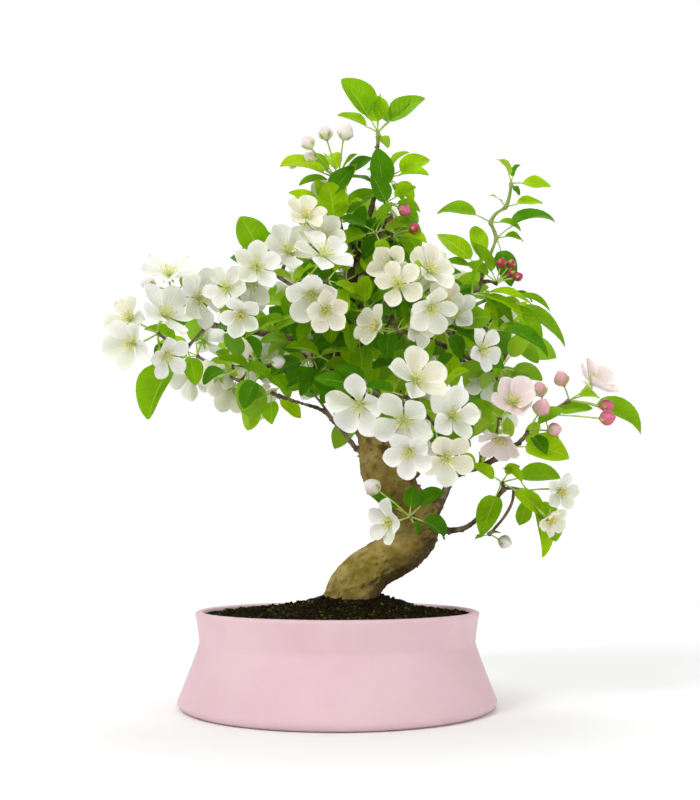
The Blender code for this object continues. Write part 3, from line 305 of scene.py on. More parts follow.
MASSES: tuple[Mass, ...] = (
    Mass("foliage_top", "bough_leader", FRONT, 11, (
        Spur((27, 0, 379),
            ((-32, 30), (38, 26), (56, 28), (7, 17), (-66, 20), (142, 9), (-10, 20))),)),
    Mass("foliage_top_left", "bough_top_left", FRONT, 12, (
        Spur((0, -12, 341), ((-78, 28), (20, 22), (-18, 18), (-96, 18), (60, 20)), (),
            ((-73, 28), (-60, 19), (-47, 28), (-16, 28), (8, 28))),
        Spur((-3, -14, 313), ((-62, 25), (-95, 20), (-28, 20), (48, 18), (100, 20))),
        Spur((0, 8, 318), ((110, 18), (-80, 16)), ((-30, 16), (25, 18))))),
    Mass("foliage_top_right", "bough_top_right", FRONT, 13, (
        Spur((34, 6, 349), ((58, 24), (92, 22), (128, 18), (-20, 16))),
        Spur((32, -3, 328), ((146, 30), (100, 18), (60, 18)), (), ((178, 9), (124, 15))),
        Spur((36, -14, 302), ((-120, 18), (140, 20), (50, 18), (106, 18)), (), ((84, 12),)))),
    Mass("foliage_upper_left", "bough_upper_left", FRONT, 14, (
        Spur((-44, -34, 272), ((-24, 28), (-62, 22)), ((58, 19), (-140, 20))),
        Spur((-62, -45, 254), ((-150, 18),), ((-97, 14), (175, 15), (-10, 17))),
        Spur((-23, -50, 260), ((-160, 18),), ((140, 16), (48, 22))),
        Spur((-24, -30, 288), ((-62, 18), (85, 18)), ((-18, 15), (62, 14))),
        Spur((-21, -58, 240), ((-116, 27), (172, 24), (60, 18))),
        Spur((-6, -48, 262), ((130, 24), (40, 18)), ((95, 15),)))),
    Mass("foliage_far_left", "bough_far_left", FRONT, 15, (
        Spur((-84, -27, 237), ((8, 33), (80, 20))),
        Spur((-96, -27, 224), ((-143, 38), (130, 25), (-60, 20))),
        Spur((-103, -34, 258), ((70, 22), (168, 18)), ((-16, 13),), ((-76, 13),)),
        Spur((-112, -42, 230), ((170, 16),), ((31, 14), (112, 18), (-52, 13), (-128, 18))))),
    Mass("foliage_left", "bough_left", FRONT, 16, (
        Spur((-68, -18, 213), ((-95, 20), (-30, 18)), ((-146, 13), (150, 15))),
        Spur((-50, -17, 217), ((112, 24), (150, 18), (60, 16)), ((-60, 13),), ((104, 9),)))),
    Mass("foliage_low_left", "bough_low_left", FRONT, 17, (
        Spur((-43, -12, 197),
            ((-72, 18), (178, 16), (62, 23), (-15, 18), (-108, 16), (130, 18))),)),
    Mass("foliage_centre", "bough_centre", FRONT, 18, (
        Spur((44, -44, 258), ((-20, 18), (100, 20)), ((-78, 15), (58, 19), (155, 20))),
        Spur((37, -42, 232), ((-75, 20),), ((-125, 14), (15, 14))),
        Spur((64, -40, 234), ((98, 26), (130, 20)), ((-20, 17), (45, 15))),
        Spur((79, -29, 223), ((125, 26), (60, 20)), ((82, 15), (-132, 16), (5, 17))),
        Spur((60, -26, 262), ((70, 22),), ((-20, 14), (60, 14))))),
    Mass("foliage_front_low", "bough_front_low", FRONT, 19, (
        Spur((41, -58, 188), ((-75, 18),), ((34, 14), (178, 15))),
        Spur((22, -46, 193), ((-74, 28), (-100, 24), (-48, 20)), ((-140, 14),)),
        Spur((60, -48, 172), ((128, 20), (100, 18)), ((62, 15), (-140, 20), (168, 17))),
        Spur((64, -36, 190), ((40, 22),), ((80, 14), (-10, 14))))),
    Mass("foliage_right_top", "bough_right_high", FRONT, 20, (
        Spur((97, 0, 281), ((-2, 25), (-38, 28), (52, 18), (-72, 22))),
        Spur((107, 2, 305), ((56, 30), (85, 14))),
        Spur((103, 2, 316), ((-70, 27),)),
        Spur((114, 3, 327), ((75, 18), (-50, 10))),
        Spur((118, 3, 344), ((-14, 14), (10, 11), (150, 8))),
        Spur((105, -8, 271), ((60, 28), (85, 20), (-55, 24)), (),
            ((8, 11), (36, 13), (58, 9), (84, 12), (112, 8))))),
    Mass("foliage_right_mid", "bough_right_fork", FRONT, 21, (
        Spur((88, -14, 262), ((-70, 26), (70, 28), (30, 24), (100, 24))),
        Spur((108, -10, 260), ((114, 40), (86, 20), (135, 26))),
        Spur((97, -13, 238), ((98, 30), (113, 37), (130, 38), (152, 30), (75, 22))))),
    Mass("foliage_far_right", "bough_right_mid", FRONT, 22, (
        Spur((132, -18, 182), ((80, 22), (-150, 16), (165, 22)), (), ((-10, 12), (94, 36))),
        Spur((148, -20, 191), ((105, 42), (62, 20)), ((52, 17),), ((-22, 10), (98, 20))))),
    Mass("foliage_right_blossom", "bough_right_blossom", FRONT, 23, (
        Spur((101, -34, 178), ((60, 18), (-60, 16)), ((42, 14), (190, 9)), ((-84, 17),)),
        Spur((120, -28, 170), ((160, 22), (100, 20)), (), ((48, 15), (80, 12))),
        Spur((106, -28, 160), ((90, 28), (165, 26), (-150, 20), (130, 24))))),
    Mass("foliage_right_inner", "bough_right_inner", FRONT, 24, (
        Spur((77, -5, 162), ((-70, 18), (-40, 13), (118, 20), (40, 16)), (),
            ((-20, 12), (25, 16))),)),
    Mass("foliage_right_low", "bough_right_low", FRONT, 25, (
        Spur((105, -12, 139), ((72, 33), (120, 24), (-10, 24), (-160, 28), (20, 20))),
        Spur((121, -11, 134), ((163, 32), (146, 28), (-170, 17)), ((58, 15), (100, 20))),
        Spur((96, -12, 106), ((-100, 7), (60, 7)), (), ((120, 7),)))),
    Mass("foliage_trunk_spur", "trunk", FRONT, 26, (
        Spur((45, -26, 117), ((45, 21), (108, 23), (-54, 22), (150, 9), (5, 14)), ((-108, 17),),
            ((-56, 25),)),)),
    Mass("foliage_back_left", "bough_back_left", BACK, 31, (), (
        Filling(6, (-38, 56, 252), (34, 20, 30), 3, 2, 1),)),
    Mass("foliage_back_top", "bough_back_top", BACK, 32, (), (
        Filling(3, (12, 36, 304), (22, 16, 24), 4, 1, 1),)),
    Mass("foliage_back_right", "bough_back_right", BACK, 33, (), (
        Filling(6, (62, 54, 256), (36, 20, 26), 3, 2, 1),)),
    Mass("foliage_back_low", "bough_back_low", BACK, 34, (), (
        Filling(4, (42, 54, 200), (26, 16, 18), 3, 2, 0),)),
    Mass("foliage_back_far_left", "bough_back_far_left", BACK, 35, (), (
        Filling(4, (-74, 24, 224), (26, 16, 20), 3, 2, 0),)),
    Mass("foliage_back_far_right", "bough_back_far_right", BACK, 36, (), (
        Filling(4, (104, 34, 224), (26, 16, 22), 4, 1, 0),)))
TRUNK_SPUR_ROOT, TRUNK_SPUR_HEADING = (48, -13.35, 117), (0.0, -1.0, 0.0)

# Stubs and calluses of the trunk in millimetres: start, end, and the radius at each
STUBS = (((56, 0, 124), (62, -3, 134), 5.0, 3.0), ((52, -6, 104), (62, -6, 104), 5.5, 4.0),
    ((40, 4, 140), (53, 0, 146), 3.4, 2.0))

# Ringed knots: centre and radius in millimetres, height of the ring, and how dark the middle is
# The dark middles of the big knots on the right flank of the bend are partly painted shade of the
# crease there.
KNOTS = (((20, -8, 167), 2.8, 0.7, 0.8), ((30, -7, 161), 4.2, 0.9, 0.95),
    ((24, -12, 149), 2.4, 0.5, 0.6), ((15, -9, 154), 3.2, 0.8, 0.0), ((46, -6, 141), 4.5, 0.9, 1.0),
    ((57, -9, 100), 5.5, 1.0, 0.8), ((60, -4, 132), 4.0, 0.8, 1.0), ((21, -17, 85), 6.0, 0.9, 0.0),
    ((-6, -13, 67), 4.5, 0.8, 0.35), ((52, -11, 112), 3.6, 0.6, 0.8),
    ((36, -13, 131), 3.0, 0.5, 0.4), ((6, -22, 78), 3.4, 0.6, 0.2))

# Wrinkled places of the bark: centre and radius in millimetres, and depth
WRINKLES = (((50, -10, 118), 14, 0.3), ((58, -8, 106), 10, 0.35), ((44, -10, 130), 10, 0.18),
    ((5, 0, 205), 26, 0.22))

SCATTER_INPUTS = {"Ground": "Geometry", "Density": "Float", "Smallest": "Float", "Largest": "Float",
    "Seed": "Int", "Finish": "Material"}


# Where a blade, a petal and a bud have their rows of points, along and across
BLADE_SHARES = (0.0, 0.06, 0.15, 0.26, 0.38, 0.5, 0.62, 0.74, 0.85, 0.94, 1.0)
BLADE_SIDES = (-1.0, -0.52, -0.03, 0.03, 0.52, 1.0)
PETAL_SHARES = (0.0, 0.1, 0.2, 0.32, 0.46, 0.6, 0.74, 0.86, 0.94, 0.985, 1.0)
PETAL_SIDES = (-1.0, -0.5, 0.0, 0.5, 1.0)
BUD_SHARES = (0.0, 0.1, 0.26, 0.45, 0.62, 0.78, 0.9, 0.98)
BUD_GIRTHS = (0.35, 0.68, 0.95, 1.0, 0.9, 0.66, 0.38, 0.12)

# The faces of a sepal and of an anther
SEPAL_FACES = np.array([(0, 1, 2), (0, 2, 4), (4, 2, 3)])
OCTAHEDRON = np.array(
    [(0, 1, 4), (1, 2, 4), (2, 3, 4), (3, 0, 4), (1, 0, 5), (2, 1, 5), (3, 2, 5), (0, 3, 5)])

# A dry twig on the low left bough, in millimetres: its points, and its radii
DRY_TWIG = (((-3, -8, 180), (-11, -9, 191), (-18, -9, 199)), (1.0, 0.8, 0.7))

# The stage's white, and its lights: place, size and power
WHITE = (1.0, 1.0, 1.0)
LIGHTS = (("key", (-0.9, -1.0, 1.4), 0.6, 15.0), ("fill", (1.2, -0.9, 0.8), 1.1, 5.0),
    ("top", (0.1, 0.5, 1.5), 1.0, 11.0))


@dataclass(frozen=True)
class Twig:
    """A twig as a line of points with a radius at each."""

    path: list[Array]
    radii: list[float]


class Organ:
    """What a spur carries on a stalk.

    It keeps its clearance to every limb, and its samples after those on its stalk keep off the
    twigs. A bud stands at the end of its stalk and needs no such look.
    """

    root: Array
    clearance = LIMB_CLEARANCE
    on_stalk: int | None = None

    def course(self) -> Array:
        """Returns the direction in which the stalk leaves the spur."""
        return unit(self.centre - self.root)


@dataclass(frozen=True)
class Leaf(Organ):
    """A leaf: root in its spur, heading of its midrib, and the sizes of its blade."""

    root: Array
    heading: Array
    normal: Array
    stalk: float
    length: float
    width: float
    curl: float
    on_stalk = 3

    def course(self) -> Array:
        """Returns the direction in which the stalk leaves the spur."""
        return self.heading

    def point(self, share: float, side: float) -> Array:
        """Returns a point of the blade: share runs from base to tip, and side from -1 to 1."""
        bend = self.curl * share
        if abs(self.curl) > 1e-3:
            run, fall = sin(bend) / self.curl, (1 - cos(bend)) / self.curl
        else:
            run, fall = share, 0.0
        across = np.cross(self.normal, self.heading)
        base = self.root + self.heading * self.stalk
        spine = base + self.length * (run * self.heading - fall * self.normal)
        return spine + side * 0.5 * self.width * leaf_profile(share) * across

    def samples(self) -> list[Array]:
        """Returns points spread over the leaf, with three on its stalk first."""
        stalk = [self.root + self.heading * self.stalk * t for t in (0.4, 0.7, 1.0)]
        shares = (0.15, 0.3, 0.45, 0.6, 0.75, 0.88, 0.999)
        return stalk + [self.point(s, side) for s in shares for side in (-1, -0.5, 0, 0.5, 1)]


@dataclass(frozen=True)
class Blossom(Organ):
    """An open blossom: its disc looks along the normal."""

    root: Array
    centre: Array
    normal: Array
    radius: float
    roll: float
    on_stalk = 2

    def rim(self, spread: Iterable[float], share: float) -> list[Array]:
        """Returns points on the petals, spread degrees to both sides of each petal's middle."""
        first, second = axes(self.normal)
        turns = [
            self.roll + radians(72 * petal + offset) for petal in range(5) for offset in spread]
        return [self.centre + share * self.radius
            * around(around(first, second, turn), self.normal, BLOSSOM_CUP) for turn in turns]

    def samples(self) -> list[Array]:
        """Returns points spread over the blossom, with two on its stalk first."""
        stalk = [self.root + (self.centre - self.root) * t for t in (0.4, 0.7)]
        return stalk + self.rim((-26, 0, 26), 1.0) + self.rim((0,), 0.5) + [self.centre]


@dataclass(frozen=True)
class Bud(Organ):
    """A closed flower bud on its stalk."""

    root: Array
    centre: Array
    axis: Array
    length: float
    radius: float
    clearance = BUD_RADIUS

    def samples(self) -> list[Array]:
        """Returns points along the stalk and the bud."""
        stalk = [self.root + (self.centre - self.root) * t for t in (0.4, 0.7, 1.0)]
        return stalk + [self.centre + self.axis * self.length * t for t in (0.3, 0.6, 1.0)]


@dataclass
class Knob:
    """The end of a spur, with the headings of the stalks that leave it."""

    spur: Spur
    at: Array
    headings: list[Array]


@dataclass
class Growth:
    """All that grows in one mass, and the draws that it is dealt."""

    mass: Mass
    owner: int
    rng: Random
    knobs: list[Knob] = field(default_factory=list)
    twigs: list[Twig] = field(default_factory=list)
    organs: dict[type, list[Organ]] = field(
        default_factory=lambda: {Leaf: [], Blossom: [], Bud: []})


def unit(vector: Array) -> Array:
    """Returns the vector at length one."""
    return vector / max(norm(vector), 1e-12)


def smooth(points: Sequence[Vector], per_span: int) -> list[Vector]:
    """Returns points on the Catmull-Rom curve through the given ones.

    Args:
        points: the points that the curve goes through.
        per_span: how many points each span between two of them gives.
    """
    knots = [points[0]] + list(points) + [points[-1]]
    found = []
    for a, b, c, d in zip(knots, knots[1:], knots[2:], knots[3:]):
        for step in range(per_span):
            t = step / per_span
            found.append(0.5 * (2 * b + (c - a) * t + (2 * a - 5 * b + 4 * c - d) * t * t
                + (3 * b - a - 3 * c + d) * t ** 3))
    return found + [points[-1]]


def limb_line(limb: Limb, fineness: int = 1) -> tuple[list[Vector], list[float]]:
    """Returns the centre points and radii of a limb.

    Args:
        limb: the limb.
        fineness: how many times more points to give than the solids have.
    """
    per_span = POINTS_PER_SPAN * fineness
    points = smooth([Vector(p) * MM for p in limb.points], per_span)
    count = len(points)
    if len(limb.radii) == len(limb.points):
        knots = [Vector((r * MM, 0, 0)) for r in limb.radii]
        return points, [r.x for r in smooth(knots, per_span)]
    start, end = (r * MM for r in limb.radii)
    return points, [start + (end - start) * i / (count - 1) for i in range(count)]


def compass(facing: Triple) -> tuple[Array, Array, Array]:
    """Returns the right, up and outward directions of a mass."""
    out, up = np.array(facing), np.array((0.0, 0.0, 1.0))
    return np.cross(up, out), up, out


def around(first: Array, second: Array, turn: float) -> Array:
    """Returns the direction at a turn from one axis to the other."""
    return cos(turn) * first + sin(turn) * second


def axes(normal: Array, hint: Triple = (0.31, 0.87, 0.39)) -> tuple[Array, Array]:
    """Returns two axes across a normal."""
    first = unit(np.cross(normal, hint))
    return first, np.cross(normal, first)


def stray(rng: Random, reach: float) -> Array:
    """Returns a random offset of up to the reach on each axis."""
    return np.array([rng.uniform(-reach, reach) for _ in range(3)])


def ways_of(path: Array) -> Array:
    """Returns the way along a path to each of its points."""
    return np.concatenate([[0], np.cumsum(norm(np.diff(path, axis=0), axis=1))])


def point_at(path: Array, ways: Array, way: float) -> Array:
    """Returns the point that lies a way along a path."""
    return np.array([np.interp(way, ways, path[:, axis]) for axis in range(3)])


def direction(facing: Triple, clock: float, tilt: float) -> Array:
    """Returns the direction at a clock angle, tilted outward, both in degrees."""
    right, up, out = compass(facing)
    return around(around(up, right, radians(clock)), out, radians(tilt))


def leaf_profile(share: float) -> float:
    """Returns the half width of a blade as a share of its greatest."""
    return sin(pi * share ** 0.8) ** 0.8


class Room:
    """What a new organ must keep clear of: limbs, other masses, blossoms and leaves."""

    def __init__(self, lines: Iterable[tuple[Sequence, Sequence[float]]]) -> None:
        """Takes the lines of the limbs, each as points and radii."""
        spans = [(a, b, max(ra, rb)) for points, radii in lines
            for a, b, ra, rb in zip(points, points[1:], radii, radii[1:])]
        self.starts, self.ends, self.radii = map(np.array, zip(*spans)) if spans else (None,) * 3
        self.seeds, self.owners = np.zeros((0, 3)), np.zeros(0, int)
        self.blossoms: list[Blossom] = []
        self.bud_middles, self.discs = np.zeros((0, 3)), np.zeros((0, 7))
        self.blades = np.zeros((0, 15))
        self.twigs: Room | None = None

    def claim(self, points: Iterable[Array], owner: int) -> None:
        """Gives points to a mass: what lies nearest to them is its space."""
        points = np.array(points)
        self.seeds = np.vstack([self.seeds, points])
        self.owners = np.concatenate([self.owners, np.full(len(points), owner)])

    def off_limbs(self, points: Iterable[Array], clearance: float) -> bool:
        """Returns whether every point keeps that clearance to every limb."""
        points = np.array(points)[:, None, :]
        along = self.ends - self.starts
        share = ((points - self.starts) * along).sum(-1) / (along ** 2).sum(-1)
        nearest = self.starts + np.clip(share, 0, 1)[..., None] * along
        return bool((norm(points - nearest, axis=-1) > self.radii + clearance).all())

    def off_twigs_of_all(self, points: Iterable[Array]) -> bool:
        """Returns whether no point of a blade or a petal comes near a twig of any mass."""
        return self.twigs is None or self.twigs.off_limbs(points, 0.0006)

    def in_space(self, points: Iterable[Array], owner: int) -> bool:
        """Returns whether every point lies in the mass's own space."""
        away = norm(np.array(points)[:, None, :] - self.seeds, axis=-1)
        own, other = away[:, self.owners == owner].min(1), away[:, self.owners != owner].min(1)
        return bool(((own + SPACE_GAP < other) & (other > LEAST_TO_OTHERS)).all())

    def off_twigs(self, points: Iterable[Array], owner: int) -> bool:
        """Returns whether a new twig keeps away from the twigs of the other masses."""
        others = self.seeds[self.owners != owner]
        if not len(others):
            return True
        away = norm(np.array(points)[:, None, :] - others, axis=-1)
        return bool((away > TWIG_CLEARANCE).all())

    def add(self, organ: Organ) -> None:
        """Takes an organ into the room."""
        if isinstance(organ, Bud):
            middle = organ.centre + organ.axis * organ.length / 2
            self.bud_middles = np.vstack([self.bud_middles, middle])
        elif isinstance(organ, Blossom):
            self.blossoms.append(organ)
            self.discs = np.vstack([self.discs, [*organ.centre, *organ.normal, organ.radius]])
        else:
            row = [*organ.point(0.5, 0), *organ.heading, *np.cross(organ.normal, organ.heading),
                *organ.normal, organ.length, organ.width, organ.curl]
            self.blades = np.vstack([self.blades, row])

    def off_blossoms(self, points: Iterable[Array], petal_room: float = PETAL_ROOM) -> bool:
        """Returns whether no point lies in the petals or the stamens of a blossom."""
        apart = np.array(points)[:, None, :] - self.discs[:, 0:3]
        normals, radii = self.discs[:, 3:6], self.discs[:, 6]
        height = (apart * normals).sum(-1)
        across = norm(apart - height[..., None] * normals, axis=-1)
        petals = (across < 0.95 * radii) & (
            np.abs(height - across * tan(BLOSSOM_CUP)) < petal_room * radii)
        stamens = (across < 0.3 * radii) & (height > 0) & (height < 0.45 * radii)
        return not (petals | stamens).any()

    def off_buds(self, points: Iterable[Array]) -> bool:
        """Returns whether no point lies in a bud."""
        apart = np.array(points)[:, None, :] - self.bud_middles
        return bool((norm(apart, axis=-1) > BUD_ROOM).all())

    def off_leaves(self, points: Iterable[Array]) -> bool:
        """Returns whether no leaf that is already there is crossed by these points' surface."""
        if not len(self.blades):
            return True
        apart = np.array(points)[:, None, :] - self.blades[:, 0:3]
        along, across, height = ((apart * self.blades[:, low:low + 3]).sum(-1) for low in (3, 6, 9))
        length, width, curl = self.blades[:, 12], self.blades[:, 13], self.blades[:, 14]
        height = height + curl * along ** 2 / (2 * length)
        inside = (2 * along / length) ** 2 + (2 * across / width) ** 2 < 0.9
        inside &= np.abs(height) < 0.009
        lowest = np.where(inside, height, 1.0).min(0)
        highest = np.where(inside, height, -1.0).max(0)
        nearest = np.where(inside, np.abs(height), 1.0).min(0)
        return not (inside.any(0) & ((nearest < 0.0007) | ((lowest < 0) & (highest > 0)))).any()

    def faces_clear(self, new: Blossom, petal_room: float) -> bool:
        """Returns whether no earlier blossom's rim lies in the new one."""
        trial = Room([])
        trial.add(new)
        near = [b for b in self.blossoms if norm(b.centre - new.centre) < 0.045]
        return all(trial.off_blossoms(b.samples(), petal_room) for b in near)


def spread_out(heading: Array, others: Iterable[Array]) -> bool:
    """Returns whether a stalk leaves its knob well apart from the stalks that are there."""
    return all(heading @ other < STALK_SPREAD for other in others)


def grow_twig(start: Array, heading: Array, goal: Array, radii: tuple[float, float],
        rng: Random) -> Twig:
    """Returns a bent twig from start to goal that leaves along the heading."""
    reach = norm(goal - start)
    bend = start + heading * reach * 0.4
    middle = bend * 0.6 + (start + goal) * 0.2 + stray(rng, 1) * reach * 0.07
    count = 2 if reach < 0.022 else 3
    shares = [step / count for step in range(count + 1)]
    path = [(1 - t) ** 2 * start + 2 * t * (1 - t) * middle + t * t * goal for t in shares]
    return Twig(path, [radii[0] + (radii[1] - radii[0]) * i / count for i in range(count + 1)])


def twig_samples(twig: Twig, skip: float = 0.0) -> list[Array]:
    """Returns points along a twig, past the skipped length at its start."""
    found = [
        a + (b - a) * t for a, b in zip(twig.path, twig.path[1:]) for t in (0.0, 0.25, 0.5, 0.75)]
    found = [point for point in found if norm(point - twig.path[0]) >= skip]
    return found + [twig.path[-1]]


def filled_spurs(mass: Mass, rng: Random) -> list[Spur]:
    """Returns the spurs that a mass's fillings add, set evenly by the golden angle."""
    found = []
    for filling in mass.fillings:
        for number in range(filling.count):
            height = 1 - 2 * (number + 0.5) / filling.count
            turn = radians(GOLDEN_ANGLE * number) + rng.uniform(0, 0.6)
            reach = 0.78 + 0.22 * rng.random()
            ring = sqrt(1 - height * height)
            unit_at = (ring * cos(turn) * reach, ring * sin(turn) * reach, height * reach)
            at = tuple(c + r * u for c, r, u in zip(filling.centre, filling.radii, unit_at))
            clock = rng.uniform(0, 360)
            turns = [clock + GOLDEN_ANGLE * i for i in range(8)]
            found.append(
                Spur(at, tuple((turns[i], rng.uniform(19, 28)) for i in range(filling.leaves)),
                tuple((turns[i] + 60, rng.uniform(12, 17)) for i in range(filling.blossoms)),
                tuple((turns[i] + 100, rng.uniform(11, 18)) for i in range(filling.buds))))
    return found


def named(items: Iterable, name: str) -> Limb | Mass:
    """Returns the limb or the mass of that name."""
    return next(item for item in items if item.name == name)


def course_at_end(twig: Twig) -> Array:
    """Returns the direction in which a twig ends."""
    return unit(twig.path[-1] - twig.path[-2])


def root_of(mass: Mass) -> tuple[Array, Array, float]:
    """Returns where a mass's stem starts, just clear of its limb, its heading and its radius."""
    if mass.limb == "trunk":
        return np.array(TRUNK_SPUR_ROOT) * MM, unit(np.array(TRUNK_SPUR_HEADING)), 1.3 * MM
    points, radii = limb_line(named(LIMBS, mass.limb))
    heading = unit(np.array(points[-1]) - np.array(points[-2]))
    return np.array(points[-1]) + heading * GAP, heading, radii[-1]


@dataclass
class Crown:
    """Grows every mass by the rule of the solids, and then the finer spurs within its reach.

    The tries say how often a place is sought for a twig, an organ and a fine one. Fine leaves and
    stalks have their ranges of lengths in millimetres.
    """

    twig_tries: int = 9
    organ_tries: int = 26
    fine_tries: int = 14
    fine_seed: int = 500
    fine_blades: tuple[float, float] = (15, 26)
    fine_stalks: tuple[float, float] = (10, 24)
    fine_petal_room: float = 0.06
    spurlet_length: float = 0.009
    spurlet_leaves: int = 3
    limb_spur_leaves: int = 5
    growths: list[Growth] = field(default_factory=lambda: [
        Growth(mass, owner, Random(mass.seed)) for owner, mass in enumerate(MASSES)])

    def __post_init__(self) -> None:
        """Prepares the room that the limbs leave."""
        self.room = Room([limb_line(limb) for limb in LIMBS])
        self.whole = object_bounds()

    def grow(self) -> list[Growth]:
        """Grows twigs, flowers and leaves in the order of the solids, then the fine spurs."""
        for growth in self.growths:
            self.grow_twigs(growth)
        self.note_twigs()
        for growth in self.growths:
            for knob in growth.knobs:
                self.grow_organs(growth, knob, self.new_blossom, knob.spur.blossoms)
                self.grow_organs(growth, knob, self.new_bud, knob.spur.buds)
        for growth in self.growths:
            for knob in growth.knobs:
                self.grow_organs(growth, knob, self.new_leaf, knob.spur.leaves)
        self.grow_limb_spurs()
        self.note_twigs()
        for growth in self.growths:
            self.grow_fine(growth)
        return self.growths

    def note_twigs(self) -> None:
        """Takes all twigs into the room, so that blades and petals keep off them."""
        self.room.twigs = Room([(t.path, t.radii) for g in self.growths for t in g.twigs])

    def grow_twigs(self, growth: Growth) -> None:
        """Grows a mass's twigs, each from the nearest twig before it, and notes their ends."""
        mass, room, rng = growth.mass, self.room, growth.rng
        root, heading, radius = root_of(mass)
        neck = root + heading * 0.004
        growth.twigs.append(Twig([root, neck], [radius, radius * 0.9]))
        joints = [(neck, heading)]
        room.claim([root, neck], growth.owner)
        spurs = list(mass.spurs) + filled_spurs(mass, rng)
        spurs.sort(key=lambda spur: norm(np.array(spur.at) * MM - neck))
        for spur in spurs:
            goal = np.array(spur.at, float) * MM
            near = sorted(joints, key=lambda joint: norm(joint[0] - goal))
            for attempt in range(self.twig_tries):
                start, course = near[min(attempt // 3, len(near) - 1)]
                toward = unit(unit(course) + 1.2 * unit(goal - start))
                twig = grow_twig(start, toward, goal, (radius * 0.8, TWIG_RADIUS), rng)
                samples = twig_samples(twig, 0.003)
                apart = room.off_limbs(samples, TWIG_RADIUS + LIMB_CLEARANCE)
                if apart and room.off_twigs(samples, growth.owner):
                    growth.twigs.append(twig)
                    joints += [(b, b - a) for a, b in zip(twig.path, twig.path[1:])]
                    room.claim(twig_samples(twig), growth.owner)
                    growth.knobs.append(Knob(spur, goal, [-course_at_end(twig)]))
                    break

    def new_blossom(self, growth: Growth, knob: Knob, clock: float, stalk: float,
            attempt: int) -> Blossom:
        """Returns a blossom to try, which strays further with every attempt."""
        facing, deal = growth.mass.facing, growth.rng.uniform
        slack = 3 + 3 * attempt
        tilt = deal(34, 52) + deal(-1, 1) * 1.8 * attempt
        heading = direction(facing, clock + deal(-slack, slack), tilt)
        reach = stalk * MM * deal(0.92, 1.08 + 0.04 * attempt)
        normal = unit(0.85 * heading + 0.55 * compass(facing)[2] + stray(growth.rng, 0.4))
        radius = BLOSSOM_RADIUS * deal(0.9, 1.08) * 0.988 ** attempt
        return Blossom(knob.at, knob.at + heading * reach, normal, radius, deal(0, tau))

    def new_bud(self, growth: Growth, knob: Knob, clock: float, stalk: float, attempt: int) -> Bud:
        """Returns a bud to try."""
        deal = growth.rng.uniform
        slack = 5 + 2 * attempt
        heading = direction(growth.mass.facing, clock + deal(-slack, slack),
            deal(5, 40) + 0.5 * attempt)
        size = deal(0.82, 1.15) * growth.mass.look.bud_size
        axis = unit(heading + stray(growth.rng, 0.2))
        reach = stalk * MM * deal(0.95, 1.05 + 0.02 * attempt)
        return Bud(knob.at, knob.at + heading * reach, axis, BUD_LENGTH * size, BUD_RADIUS * size)

    def new_leaf(self, growth: Growth, knob: Knob, clock: float, blade: float,
            attempt: int) -> Leaf:
        """Returns a leaf to try."""
        deal, (_, up, out) = growth.rng.uniform, compass(growth.mass.facing)
        slack = 4 + 1.6 * attempt
        tilt = deal(-14, 34) + deal(-1, 1) * 1.2 * attempt
        heading = direction(growth.mass.facing, clock + deal(-slack, slack), tilt)
        wish = 0.72 * up + 0.75 * out + stray(growth.rng, 0.3)
        normal = unit(wish - heading * (wish @ heading))
        length = blade * MM * deal(0.94, 1.06) * 0.985 ** attempt
        width = length * LEAF_WIDTH_SHARE * deal(0.85, 1.1)
        return Leaf(knob.at, heading, normal, length * STALK_SHARE, length, width, deal(0.1, 1.0))

    def is_free(self, new: Organ, points: list[Array], knob: Knob, petal_room: float) -> bool:
        """Returns whether an organ is clear of limbs, twigs and all other organs."""
        room = self.room
        return (spread_out(new.course(), knob.headings) and room.off_limbs(points, new.clearance)
            and (new.on_stalk is None or room.off_twigs_of_all(points[new.on_stalk:]))
            and room.off_blossoms(points, petal_room) and room.off_buds(points)
            and (not isinstance(new, Leaf) or room.off_leaves(points))
            and (not isinstance(new, Blossom) or room.faces_clear(new, petal_room)))

    def add_organ(self, growth: Growth, knob: Knob, tries: int, make: Callable, allowed: Callable,
            petal_room: float = PETAL_ROOM) -> None:
        """Grows one organ on a spur, if it finds room.

        Args:
            growth: what its mass has grown.
            knob: the end of the spur.
            tries: how many are tried at most.
            make: returns the organ of an attempt.
            allowed: returns whether the organ may lie at its points.
            petal_room: how thick a petal counts, as a share of its length.
        """
        for attempt in range(tries):
            new = make(attempt)
            points = new.samples()
            if allowed(points) and self.is_free(new, points, knob, petal_room):
                self.room.add(new)
                growth.organs[type(new)].append(new)
                knob.headings.append(new.course())
                break

    def grow_organs(self, growth: Growth, knob: Knob, new: Callable,
            organs: Iterable[tuple[float, float]]) -> None:
        """Grows a spur's organs of one kind, each where its mass's own space has room."""
        for clock, size in organs:
            self.add_organ(growth, knob, self.organ_tries,
                lambda attempt: new(growth, knob, clock, size, attempt),
                lambda points: self.room.in_space(points, growth.owner))

    def grow_fine(self, growth: Growth) -> None:
        """Adds smaller leaves, more blossoms and short side spurs inside the mass's reach."""
        growth.rng = Random(self.fine_seed + growth.mass.seed)
        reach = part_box(growth.mass.name)
        leaves, blossoms = growth.mass.look.fine
        for knob in growth.knobs:
            if knob.spur.blossoms:
                self.add_fine(Blossom, growth, knob, blossoms, reach)
            self.add_fine(Leaf, growth, knob, leaves, reach)
        if leaves > 1:
            for knob in self.grow_spurlets(growth):
                self.add_fine(Leaf, growth, knob, self.spurlet_leaves, reach)

